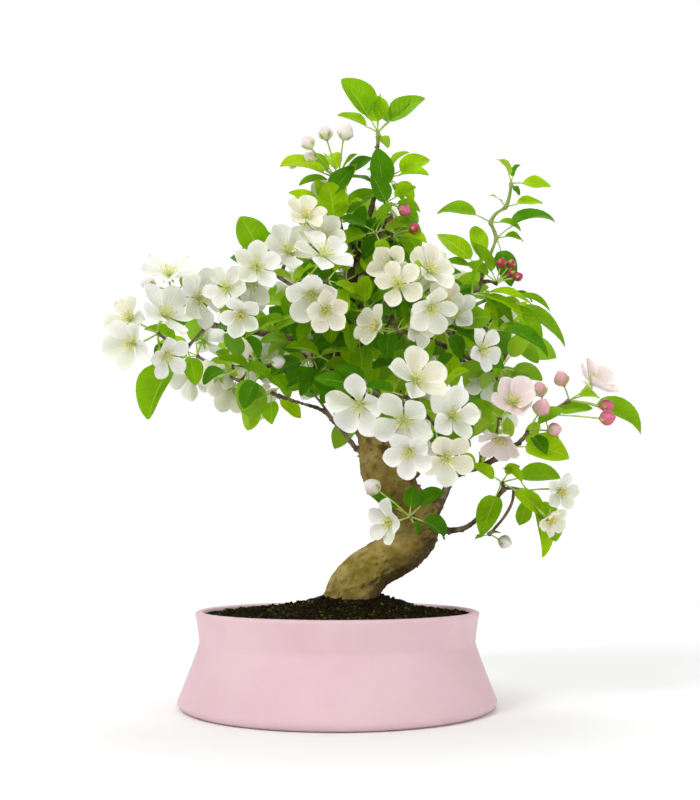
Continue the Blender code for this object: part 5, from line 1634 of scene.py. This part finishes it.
    def carve(self, body: Object) -> None:
        """Moves the skin in and out, and stores girth, scars with some painted shade, and moisture
        on it.
        """
        mesh = body.data
        points, normals = np.zeros((2, len(mesh.vertices) * 3))
        mesh.vertices.foreach_get("co", points)
        mesh.vertices.foreach_get("normal", normals)
        points, normals = points.reshape(-1, 3), normals.reshape(-1, 3)
        girth, along = self.nearest(points)
        stout = np.clip(girth / 0.012, 0, 1)
        lumps = grain(points, 0.016, 1.0) * 0.001 * stout
        skin = grain(points, 0.0042, 2.0, 3) * (0.00028 + 0.00012 * stout)
        stretched = points * np.array((1.0, 1.0, 0.35))
        ridges = np.abs(grain(stretched, 0.0032, 3.0)) * -0.00045 * (1 - 0.6 * stout)
        slim = np.clip((0.0042 - girth) / 0.002, 0, 1)
        ring = along / 0.0052 + 0.35 * grain(points, 0.009, 7.0)
        rings = np.exp(-((ring - np.floor(ring) - 0.5) / 0.11) ** 2) * slim
        rough = np.clip((points[:, 2] - 0.168) / 0.03, 0, 1)
        rough = rough * np.clip((girth - 0.003) / 0.002, 0, 1)
        cracks = np.abs(grain(stretched, 0.0055, 5.0, 3)) * -0.0022 * rough
        relief = lumps + skin + ridges + 0.0003 * rings + cracks
        fold = np.sin(tau * (along + 0.0012 * grain(points, 0.006, 4.0)) / 0.0031)
        for centre, radius, depth in WRINKLES:
            away = shares_from(points, centre, radius)
            relief += depth * MM * fold * np.exp(-away ** 2)
        scars_and_shade = 0.5 * rings + 0.7 * np.clip(-cracks / 0.0006 - 0.7, 0, 1) * rough
        ragged = grain(points, 0.0035, 8.0, 3)
        # Knot middles are darkened: real knots, and on the right flank of the bend also painted
        # shade.
        for centre, radius, height, dark in KNOTS:
            away = shares_from(points, centre, radius) * (1 + 0.7 * ragged)
            ring = np.exp(-((away - 1.0) / 0.35) ** 2)
            relief += height * MM * (ring - 0.8 * np.exp(-(away / 0.7) ** 2))
            scars_and_shade = np.maximum(scars_and_shade, dark * np.exp(-away ** 4))
        flaky = np.clip((grain(points, 0.007, 6.0) - 0.18) * 5, 0, 1)
        scars_and_shade = np.maximum(scars_and_shade, flaky * np.clip((0.0095 - girth) / 0.003, 0, 1) * 0.5)
        lower = np.exp(-((points[:, 2] - 0.083) / 0.016) ** 2)
        moist = 0.55 * lower * np.clip(-normals[:, 0] * 0.5 - normals[:, 1] * 0.4 + 0.55, 0, 1)
        points = points + normals * relief[:, None]
        mesh.vertices.foreach_set("co", points.ravel())
        for name, values in (("girth", stout), ("scar_and_shade", np.clip(scars_and_shade, 0, 1)), ("moist", moist)):
            layer = mesh.attributes.new(name, "FLOAT", "POINT")
            layer.data.foreach_set("value", values.astype(np.float32))
        mesh.update()

    def cut_foot(self, body: Object) -> None:
        """Cuts the trunk flat at ground level, under the soil."""
        with opened(body) as work:
            cut = bmesh.ops.bisect_plane(work, geom=work.verts[:] + work.edges[:] + work.faces[:],
                plane_co=(0, 0, self.foot_height), plane_no=(0, 0, -1), clear_outer=True)
            rim = [item for item in cut["geom_cut"] if isinstance(item, bmesh.types.BMEdge)]
            bmesh.ops.holes_fill(work, edges=rim)


def shares_from(points: Array, centre: Triple, radius: float) -> Array:
    """Returns the distances from a place, in radii; both are given in millimetres."""
    return norm(points - np.array(centre) * MM, axis=1) / (radius * MM)


@contextmanager
def opened(body: Object) -> Iterator[bmesh.types.BMesh]:
    """Lets a mesh be edited, and puts it back afterwards."""
    work = bmesh.new()
    work.from_mesh(body.data)
    yield work
    work.to_mesh(body.data)
    work.free()


def petal_half(share: float) -> float:
    """Returns the half width of a petal as a share of its length."""
    if share > 0.64:
        return 0.36 * max(1 - ((share - 0.64) / 0.36) ** 2.1, 0.002) ** 0.5
    rise = share / 0.64
    return 0.034 + 0.326 * rise * rise * (3 - 2 * rise)


def plain_mesh(body: Object) -> None:
    """Turns an object's modifiers into its mesh."""
    graph = bpy.context.evaluated_depsgraph_get()
    made = bpy.data.meshes.new_from_object(body.evaluated_get(graph))
    body.modifiers.clear()
    body.data = made


@dataclass
class Foliage:
    """Dresses the grown crown with leaves, blossoms, buds and twigs.

    Shaded petals and darker buds are given as shares, and buds below pale_below stay pale.
    """

    finishes: Finishes
    growths: list[Growth]
    stamens_each: int = 18
    shaded_petals: float = 0.22
    darker_buds: float = 0.16
    pale_below: float = 0.15
    leaf_fullness: float = 1.14
    rng: Random = field(default_factory=lambda: Random(77))

    def __post_init__(self) -> None:
        """Makes the materials and the empty batches."""
        self.twigs, self.stalks, self.leaves, self.petals, self.stamens, self.buds = (
            Batch(name, slot, [paint.make(self.finishes) for paint in paints])
            for name, slot, paints in PAINTS)

    def build(self) -> None:
        """Dresses every mass and settles the joined pieces."""
        for growth in self.growths:
            for number, twig in enumerate(growth.twigs):
                self.dress_twig(growth, twig, number)
            for kind, dress in ((Leaf, self.dress_leaf), (Blossom, self.dress_blossom),
                    (Bud, self.dress_bud)):
                for organ in growth.organs[kind]:
                    dress(growth, organ)
        line, girth = fine_path(np.array(DRY_TWIG[0]) * MM, np.array(DRY_TWIG[1]) * MM, 6)
        self.twigs.add_tube(line, girth * (1 + 0.1 * np.sin(line[:, 2] / 0.0007)), 8, 0)
        nodes = [growth.mass.name for growth in self.growths]
        for batch in (self.twigs, self.stalks, self.leaves, self.petals, self.stamens, self.buds):
            settle(batch.build(), nodes)

    def dress_twig(self, growth: Growth, twig: Twig, number: int) -> None:
        """Adds a twig with swollen, ringed nodes; the stem starts inside its limb's tip."""
        path, radii = list(twig.path), list(twig.radii)
        if number == 0:
            path[0] = path[0] - unit(path[1] - path[0]) * 0.002
        line, girth = fine_path(path, radii, 6)
        young = line[-1][2] > growth.mass.look.young_above
        away = ways_of(line)
        left = away[-1] - away
        if not young:
            girth = girth * (1 + 0.1 * np.sin(away / 0.0019) + 0.08 * grain(line, 0.004, 9.0))
        girth = np.maximum(girth, 0.0008) + 0.0008 * np.exp(-(left / 0.0022) ** 2)
        self.twigs.add_tube(line, girth, 8, int(young))

    def stalk(self, start: Array, bend: Array, end: Array, thick: tuple[float, float]) -> None:
        """Adds a curved green stalk."""
        shares = np.linspace(0, 1, 6)[:, None]
        line = (1 - shares) ** 2 * start + 2 * shares * (1 - shares) * bend + shares ** 2 * end
        self.stalks.add_tube(line, np.linspace(*thick, 6), 5, StalkTint.GREEN.value)

    def sepal(self, start: Array, middle: Array, tip: Array, side: Array, taper: float) -> None:
        """Adds one pointed sepal: side is its half width, and taper what is left at its middle."""
        self.stalks.add(np.array([start - side, start + side, middle + side * taper, tip,
            middle - side * taper]), SEPAL_FACES, StalkTint.GREEN.value)

    def dress_leaf(self, growth: Growth, leaf: Leaf) -> None:
        """Adds a leaf: a folded, wavy, pointed blade on its stalk."""
        rng, look = self.rng, growth.mass.look
        longer, wider, curl = look.shape
        leaf = replace(leaf, length=leaf.length * longer, width=leaf.width * wider,
            curl=leaf.curl + curl)
        across = np.cross(leaf.normal, leaf.heading)
        fold = radians(rng.uniform(10, 40))
        wave, phase = rng.uniform(0.2, 1.0) * 0.0006, rng.uniform(0, tau)
        rows = []
        for share in BLADE_SHARES:
            spine = leaf.point(share, 0)
            normal = around(leaf.normal, leaf.heading, leaf.curl * share)
            half = 0.5 * leaf.width * self.leaf_fullness * leaf_profile(min(share, 0.999)) ** 0.78
            half *= 1.0 - 0.28 * share ** 6
            for side in BLADE_SIDES:
                lift = abs(side) * half * sin(fold)
                lift += wave * side * side * sin(phase + 9 * share + 2 * side)
                rows.append(spine + side * half * cos(fold) * across + lift * normal)
        tint = rng.choices((LeafTint.BRIGHT, LeafTint.MIDDLE, LeafTint.DEEP, LeafTint.YELLOW),
            look.leaves)[0]
        if leaf.length < 0.016 and rng.random() < 0.3:
            tint = LeafTint.YOUNG
        self.leaves.add_sheet(rows, BLADE_SHARES, BLADE_SIDES, tint.value)
        base = leaf.point(0.0, 0)
        bend = (leaf.root + base) / 2 + leaf.normal * 0.08 * leaf.stalk
        self.stalk(leaf.root, bend, base + leaf.heading * 0.0006, (0.00062, 0.00042))

    def dress_blossom(self, growth: Growth, blossom: Blossom) -> None:
        """Adds five petals, stamens, a calyx and a curved stalk."""
        rng, look = self.rng, growth.mass.look
        blossom = replace(blossom, radius=blossom.radius * look.blossom_size)
        normal, radius = blossom.normal, blossom.radius
        first, second = axes(normal)
        tint = look.petals
        if tint is PetalTint.WHITE and rng.random() < look.cream:
            tint = PetalTint.CREAM
        openness = rng.uniform(-8, 8) + (18 if tint is PetalTint.BLUSH else 0)
        for petal in range(5):
            turn = blossom.roll + radians(72 * petal + rng.uniform(-5, 5))
            outward = around(first, second, turn)
            shaded = tint is not PetalTint.BLUSH and rng.random() < self.shaded_petals
            self.dress_petal(blossom.centre + 0.02 * radius * outward, outward, normal,
                radius * rng.uniform(0.97, 1.12), openness + rng.uniform(-9, 9),
                PetalTint.SHADE if shaded else tint)
        self.dress_stamens(blossom, first, second)
        low = blossom.centre - normal * 0.0028
        bend = low - normal * 0.35 * norm(blossom.centre - blossom.root)
        self.stalk(blossom.root, bend, low, (0.00055, 0.00075))
        calyx = [low + normal * rise for rise in (-0.0004, 0.001, 0.0026)]
        self.stalks.add_tube(calyx, (0.0007, 0.0017, 0.0019), 7, StalkTint.GREEN.value)
        for number in range(5):
            outward = around(first, second, blossom.roll + radians(72 * number + 36))
            start = blossom.centre - normal * 0.0006 + outward * 0.0014
            self.sepal(start, start + outward * 0.0022, start + outward * 0.005 - normal * 0.0012,
                np.cross(normal, outward) * 0.0012, 0.9)

    def dress_petal(self, base: Array, outward: Array, normal: Array, length: float,
            openness: float, tint: PetalTint) -> None:
        """Adds one cupped petal with a narrow foot and a round end."""
        rng = self.rng
        across = np.cross(normal, outward)
        width = rng.uniform(0.9, 1.12)
        cup, ruffle, phase = rng.uniform(0.34, 0.72), rng.uniform(0.5, 1.3), rng.uniform(0, 6)
        twist = rng.uniform(-0.26, 0.26)
        foot, spoon = radians(46), radians(rng.uniform(16, 40))
        rows, place, before = [], base, 0.0
        for share in PETAL_SHARES:
            half = petal_half(share)
            angle = radians(9 + openness) + foot * exp(-(share / 0.16) ** 2)
            angle += spoon * share * share
            place = place + (share - before) * length * around(outward, normal, angle)
            before = share
            up = cos(angle) * normal - sin(angle) * outward
            for side in PETAL_SIDES:
                spread = side * half * length * width
                lift = cup * half * length * side * side
                lift += 0.036 * length * ruffle * sin(phase + 4 * side + 5 * share) * share
                lift += twist * spread * share
                rows.append(place + spread * across + lift * up)
        self.petals.add_sheet(rows, PETAL_SHARES, PETAL_SIDES, tint.value)

    def dress_stamens(self, blossom: Blossom, first: Array, second: Array) -> None:
        """Adds the filaments with their anthers, and the dome that they stand on."""
        radius, normal, centre = blossom.radius, blossom.normal, blossom.centre
        for number in range(self.stamens_each):
            outward = around(first, second, tau * number * 0.618)
            spread = 0.05 + 0.27 * (number + 1) / self.stamens_each
            rise = radius * self.rng.uniform(0.28, 0.42) * (1 - 0.4 * spread)
            start = centre + outward * 0.0009
            end = centre + outward * spread * radius + normal * rise
            middle = 0.5 * (start + normal * rise * 0.6) + 0.25 * (start + end)
            self.stamens.add_tube((start, middle, end), (0.00032, 0.00026, 0.0002), 3, 0, False)
            anther = [end + 0.00062 * around(first, second, t) for t in np.arange(4) * pi / 2]
            anther += [end + normal * 0.00085, end - normal * 0.00085]
            self.stamens.add(np.array(anther), OCTAHEDRON, 1)
        dome = centre - normal * 0.0008, centre + normal * 0.0006
        self.stamens.add_tube(dome, (0.0021, 0.0012), 7, 0)

    def dress_bud(self, growth: Growth, bud: Bud) -> None:
        """Adds a closed bud with its petals wound round it, a calyx and a stalk."""
        rng, tint, sides = self.rng, growth.mass.look.buds, 10
        if rng.random() < self.darker_buds and bud.root[2] > self.pale_below:
            tint = BudTint(min(tint.value + 1, 3))
        shares, girths = np.array(BUD_SHARES), np.array(BUD_GIRTHS) * bud.radius
        line = bud.centre + np.outer(shares * bud.length, bud.axis)
        turns = np.arange(sides) * tau / sides
        wound = 1 + 0.07 * np.sin(2.5 * turns[None, :] * 2 + shares[:, None] * 4)
        middles = line[:, None, :]
        rings = middles + (sweep(line, girths, sides) - middles) * wound[..., None]
        uvs = np.stack([np.tile(turns / tau, len(line)), np.repeat(shares, sides)], axis=1)
        self.buds.add(rings.reshape(-1, 3), grid_quads(len(line), sides, True), tint.value, uvs)
        low = bud.centre
        self.stalk(bud.root, (bud.root + low) / 2 + np.array((0, 0, 0.0012)), low, (0.0005, 0.0006))
        calyx = [low + bud.axis * rise for rise in (-0.0006, 0.0006, 0.002)]
        self.stalks.add_tube(calyx, (0.0008, 0.0019, bud.radius * 0.74), 8, StalkTint.REDDISH.value,
            False)
        first, second = axes(bud.axis, (0.3, 0.8, 0.5))
        for number in range(5):
            outward = around(first, second, radians(72 * number) + rng.uniform(-0.1, 0.1))
            start, middle, tip = (low + bud.axis * rise + outward * bud.radius * reach
                for rise, reach in ((0.0014, 0.72), (0.0034, 1.04), (0.0052, 1.1)))
            self.sepal(start, middle, tip, np.cross(bud.axis, outward) * 0.0011, 0.8)


@dataclass(frozen=True)
class Pot:
    """The round pot, turned finely, with its crease and rounded edges."""

    finishes: Finishes
    height: float = 0.0585
    foot_radius: float = 0.0965
    base_radius: float = 0.1
    base_height: float = 0.004
    neck_radius: float = 0.0873
    neck_height: float = 0.0395
    rim_radius: float = 0.09
    wall: float = 0.005
    floor: float = 0.007
    sides: int = 160
    outside: Points = ((0.0899, 0.0561), (0.0893, 0.054), (0.0883, 0.048), (0.0877, 0.044),
        (0.0874, 0.0412), (0.0872, 0.0398), (0.0875, 0.038), (0.0884, 0.035), (0.0908, 0.028),
        (0.0942, 0.019), (0.0973, 0.011), (0.0992, 0.0062), (0.0999, 0.0044), (0.0998, 0.003),
        (0.0989, 0.0014))

    def build(self) -> Object:
        """Turns the profile, from the middle of the inside over the rim to the underside."""
        middle, half = self.rim_radius - self.wall / 2, self.wall / 2
        inside = [(1e-5, self.floor), (0.06, self.floor)]
        inside += [(self.inner_radius(self.floor) - 0.001, self.floor)]
        inside += [(self.inner_radius(height), height) for height in (self.neck_height, 0.052)]
        lip = [(middle - half * cos(turn), self.height - 0.0016 + 0.0016 * sin(turn))
            for turn in (pi * step / 6 for step in range(7))]
        under = [(self.foot_radius, 0.0), (self.foot_radius - 0.004, 0.0),
            (self.foot_radius - 0.006, 0.0012), (1e-5, 0.0012)]
        batch = Batch("pot_turned", "pink_ceramic", [self.finishes.glaze()])
        batch.add_turned(inside + lip + list(self.outside) + under, self.sides)
        body = batch.build()
        with opened(body) as work:
            bmesh.ops.remove_doubles(work, verts=work.verts, dist=2e-5)
            bmesh.ops.recalc_face_normals(work, faces=work.faces)
        return settle(body, ["pot"])

    def inner_radius(self, height: float) -> float:
        """Returns the radius of the inside at a height."""
        if height > self.neck_height:
            share = (height - self.neck_height) / (self.height - self.neck_height)
            return self.neck_radius + (self.rim_radius - self.neck_radius) * share - self.wall
        share = (height - self.base_height) / (self.neck_height - self.base_height)
        return self.base_radius + (self.neck_radius - self.base_radius) * share - self.wall


@dataclass(frozen=True)
class Soil:
    """The mound of damp soil with crumbs, grit and moss."""

    finishes: Finishes
    pot: Pot
    edge_height: float = 0.0555
    rise: float = 0.004
    hump: float = 0.0115
    hump_reach: float = 0.035
    hump_x: float = 0.013
    sides: int = 160

    def height_at(self, x: float, y: float) -> float:
        """Returns the height of the soil's surface."""
        share = min(hypot(x, y) / self.pot.inner_radius(self.edge_height), 1.0)
        aside = hypot(x - self.hump_x, y) / self.hump_reach
        hump = self.hump * exp(-aside * aside)
        return self.edge_height + (self.rise + hump) * (1 - share * share)

    def build(self) -> None:
        """Makes the rough mound and scatters crumbs, grit and moss over it."""
        ground = self.mound()
        for name, finish, density, smallest, largest, seed in SCATTERED:
            made = finish.make(self.finishes)
            settle(self.scatter(name, ground, made, (density, smallest, largest, seed)),
                ["soil"])
        settle(ground, ["soil"])

    def mound(self) -> Object:
        """Returns the mound's rough upper surface, closed down its side."""
        batch = Batch("soil_mound", "earth", [self.finishes.earth()])
        turns = np.arange(self.sides) * tau / self.sides
        edge = self.pot.inner_radius(self.edge_height) - 0.0002
        rows = []
        for share in np.linspace(0.004, 1.0, 44):
            ring = np.column_stack([np.cos(turns), np.sin(turns)]) * edge * share
            rows.append(np.column_stack([ring, [self.height_at(x, y) for x, y in ring]]))
        surface = np.vstack(rows)
        rough = grain(surface, 0.006, 11.0, 4) * 0.0009 + grain(surface, 0.022, 12.0) * 0.0012
        fade = np.clip(1.3 - np.hypot(surface[:, 0], surface[:, 1]) / edge, 0.15, 1.0)
        surface[:, 2] += rough * fade
        side = surface[-self.sides:].copy()
        side[:, 2] = 0.05
        points = np.vstack([surface, side])
        batch.add(points, grid_quads(45, self.sides, True)[:, ::-1], 0)
        body = batch.build()
        with opened(body) as work:
            middle = [
                edge for edge in work.edges if edge.is_boundary and edge.verts[0].co.z > 0.052]
            bmesh.ops.holes_fill(work, edges=middle)
            bmesh.ops.recalc_face_normals(work, faces=work.faces)
        return body

    def scatter(self, name: str, ground: Object, finish: Material,
            sizes: tuple[float, float, float, int]) -> Object:
        """Returns crumbs that lie over the ground.

        Args:
            name: the new piece's name.
            ground: the surface that they lie on.
            finish: their material.
            sizes: how many lie on a square metre, the smallest and largest radius, and a seed.
        """
        group = bpy.data.node_groups.new(name, "GeometryNodeTree")
        face = group.interface
        for socket, kind in SCATTER_INPUTS.items():
            face.new_socket(name=socket, in_out="INPUT", socket_type=f"NodeSocket{kind}")
        face.new_socket(name="Crumbs", in_out="OUTPUT", socket_type="NodeSocketGeometry")
        tree = Tree(group)
        given = tree.add("NodeGroupInput").outputs
        spread = tree.add("GeometryNodeDistributePointsOnFaces",
            {"Mesh": given["Ground"], "Density": given["Density"], "Seed": given["Seed"]})
        ball = tree.add("GeometryNodeMeshIcoSphere", {"Radius": 1.0, "Subdivisions": 1})
        size = tree.add("FunctionNodeRandomValue",
            {2: given["Smallest"], 3: given["Largest"], "Seed": given["Seed"]})
        turn = tree.add("FunctionNodeRandomValue", {1: (6.28, 6.28, 6.28), 8: 4},
            data_type="FLOAT_VECTOR")
        squash = tree.add("FunctionNodeRandomValue", {0: (0.6, 0.6, 0.4), 1: (1.2, 1.0, 0.9), 8: 9},
            data_type="FLOAT_VECTOR")
        scale = tree.add("VectorMath", {0: squash.outputs[0], "Scale": size.outputs[1]},
            operation="SCALE")
        set_out = tree.add("GeometryNodeInstanceOnPoints", {"Points": spread.outputs["Points"],
            "Instance": ball.outputs[0], "Rotation": turn.outputs[0], "Scale": scale.outputs[0]})
        real = tree.add("GeometryNodeRealizeInstances", {0: set_out.outputs[0]})
        coated = tree.add("GeometryNodeSetMaterial",
            {"Geometry": real.outputs[0], "Material": given["Finish"]})
        tree.add("NodeGroupOutput", {0: coated.outputs[0]})
        piece = bpy.data.objects.new(name, ground.data.copy())
        bpy.context.scene.collection.objects.link(piece)
        modifier = piece.modifiers.new("scatter", "NODES")
        modifier.node_group = group
        names = {item.name: item.identifier for item in face.items_tree if item.in_out == "INPUT"}
        for socket, value in zip(list(SCATTER_INPUTS)[1:], (*sizes, finish)):
            modifier[names[socket]] = value
        plain_mesh(piece)
        return piece


@dataclass(frozen=True)
class Studio:
    """The pale floor and backdrop, the soft lights and the camera."""

    floor_radius: float = 1.6
    sweep_radius: float = 1.4
    sky: float = 0.55
    paper_glow: float = 0.42
    lens: float = 45.3
    camera_place: Triple = (0.0079, -0.657, 0.101)
    camera_pitch: float = 0.1408

    def build(self) -> None:
        """Sets the whole stage."""
        bpy.context.scene.view_settings.view_transform = "Standard"
        made = self.paper()
        floor = self.ring("floor", [(0.0001, -0.0001), (self.floor_radius, -0.0001)], made)
        curve = [(self.floor_radius + self.sweep_radius * sin(turn),
            self.sweep_radius * (1 - cos(turn)) - 0.0001) for turn in np.linspace(0, pi / 2, 24)]
        wall = self.ring("backdrop", curve + [(self.floor_radius + self.sweep_radius, 6.0)], made)
        wall.visible_diffuse = wall.visible_glossy = wall.visible_shadow = False
        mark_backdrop(floor, wall)
        world = bpy.data.worlds.new("studio")
        world.use_nodes = True
        sky = world.node_tree.nodes["Background"]
        Tree(world.node_tree).feed(sky, {"Color": WHITE, "Strength": self.sky})
        bpy.context.scene.world = world
        for name, place, size, power in LIGHTS:
            self.light(name, place, size, power)
        self.camera()

    def paper(self) -> Material:
        """Returns pale paper that is lit up more and more towards its far edge."""
        made = Finish("pale_paper", (0.9, 0.9, 0.9), 0.9)
        away = made.add("VectorMath", {0: made.place()}, operation="LENGTH").outputs["Value"]
        glow = made.times(made.ramp(away, 0.35, 2.2), self.paper_glow)
        made.feed(made.shader, {"Emission Color": WHITE, "Emission Strength": glow})
        return made.made

    def ring(self, name: str, profile: list[tuple[float, float]], finish: Material) -> Object:
        """Returns a surface turned round the z axis that faces the middle."""
        batch = Batch(name, "", [finish])
        batch.add_turned(profile, 96)
        return batch.build()

    def light(self, name: str, place: Triple, size: float, power: float) -> None:
        """Adds a soft square light that looks at the crown."""
        lamp = bpy.data.lights.new(name, "AREA")
        lamp.energy, lamp.size = power, size
        holder = bpy.data.objects.new(name, lamp)
        holder.location = place
        aim = Vector((0.01, 0, 0.2)) - Vector(place)
        holder.rotation_euler = aim.to_track_quat("-Z", "Y").to_euler()
        holder.visible_camera = False
        bpy.context.scene.collection.objects.link(holder)

    def camera(self) -> None:
        """Adds the camera at the photograph's angle."""
        lens = bpy.data.cameras.new("camera")
        lens.lens, lens.sensor_width, lens.sensor_fit = self.lens, 36, "AUTO"
        lens.clip_start, lens.clip_end = 0.05, 40
        holder = bpy.data.objects.new("camera", lens)
        holder.location = self.camera_place
        holder.rotation_euler = (pi / 2 + self.camera_pitch, 0, 0)
        bpy.context.scene.collection.objects.link(holder)
        bpy.context.scene.camera = holder


def main() -> None:
    """Dresses the bonsai and sets the stage."""
    logging.basicConfig(level=logging.INFO, format="%(message)s")
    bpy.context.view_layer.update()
    finishes = Finishes()
    Studio().build()
    pot = Pot(finishes)
    pot.build()
    Soil(finishes, pot).build()
    Wood(finishes).build()
    growths = Crown().grow()
    for kind in (Leaf, Blossom, Bud):
        LOG.info("%s: %d grown", kind.__name__, sum(len(g.organs[kind]) for g in growths))
    Foliage(finishes, growths).build()


if __name__ == "__main__":
    main()
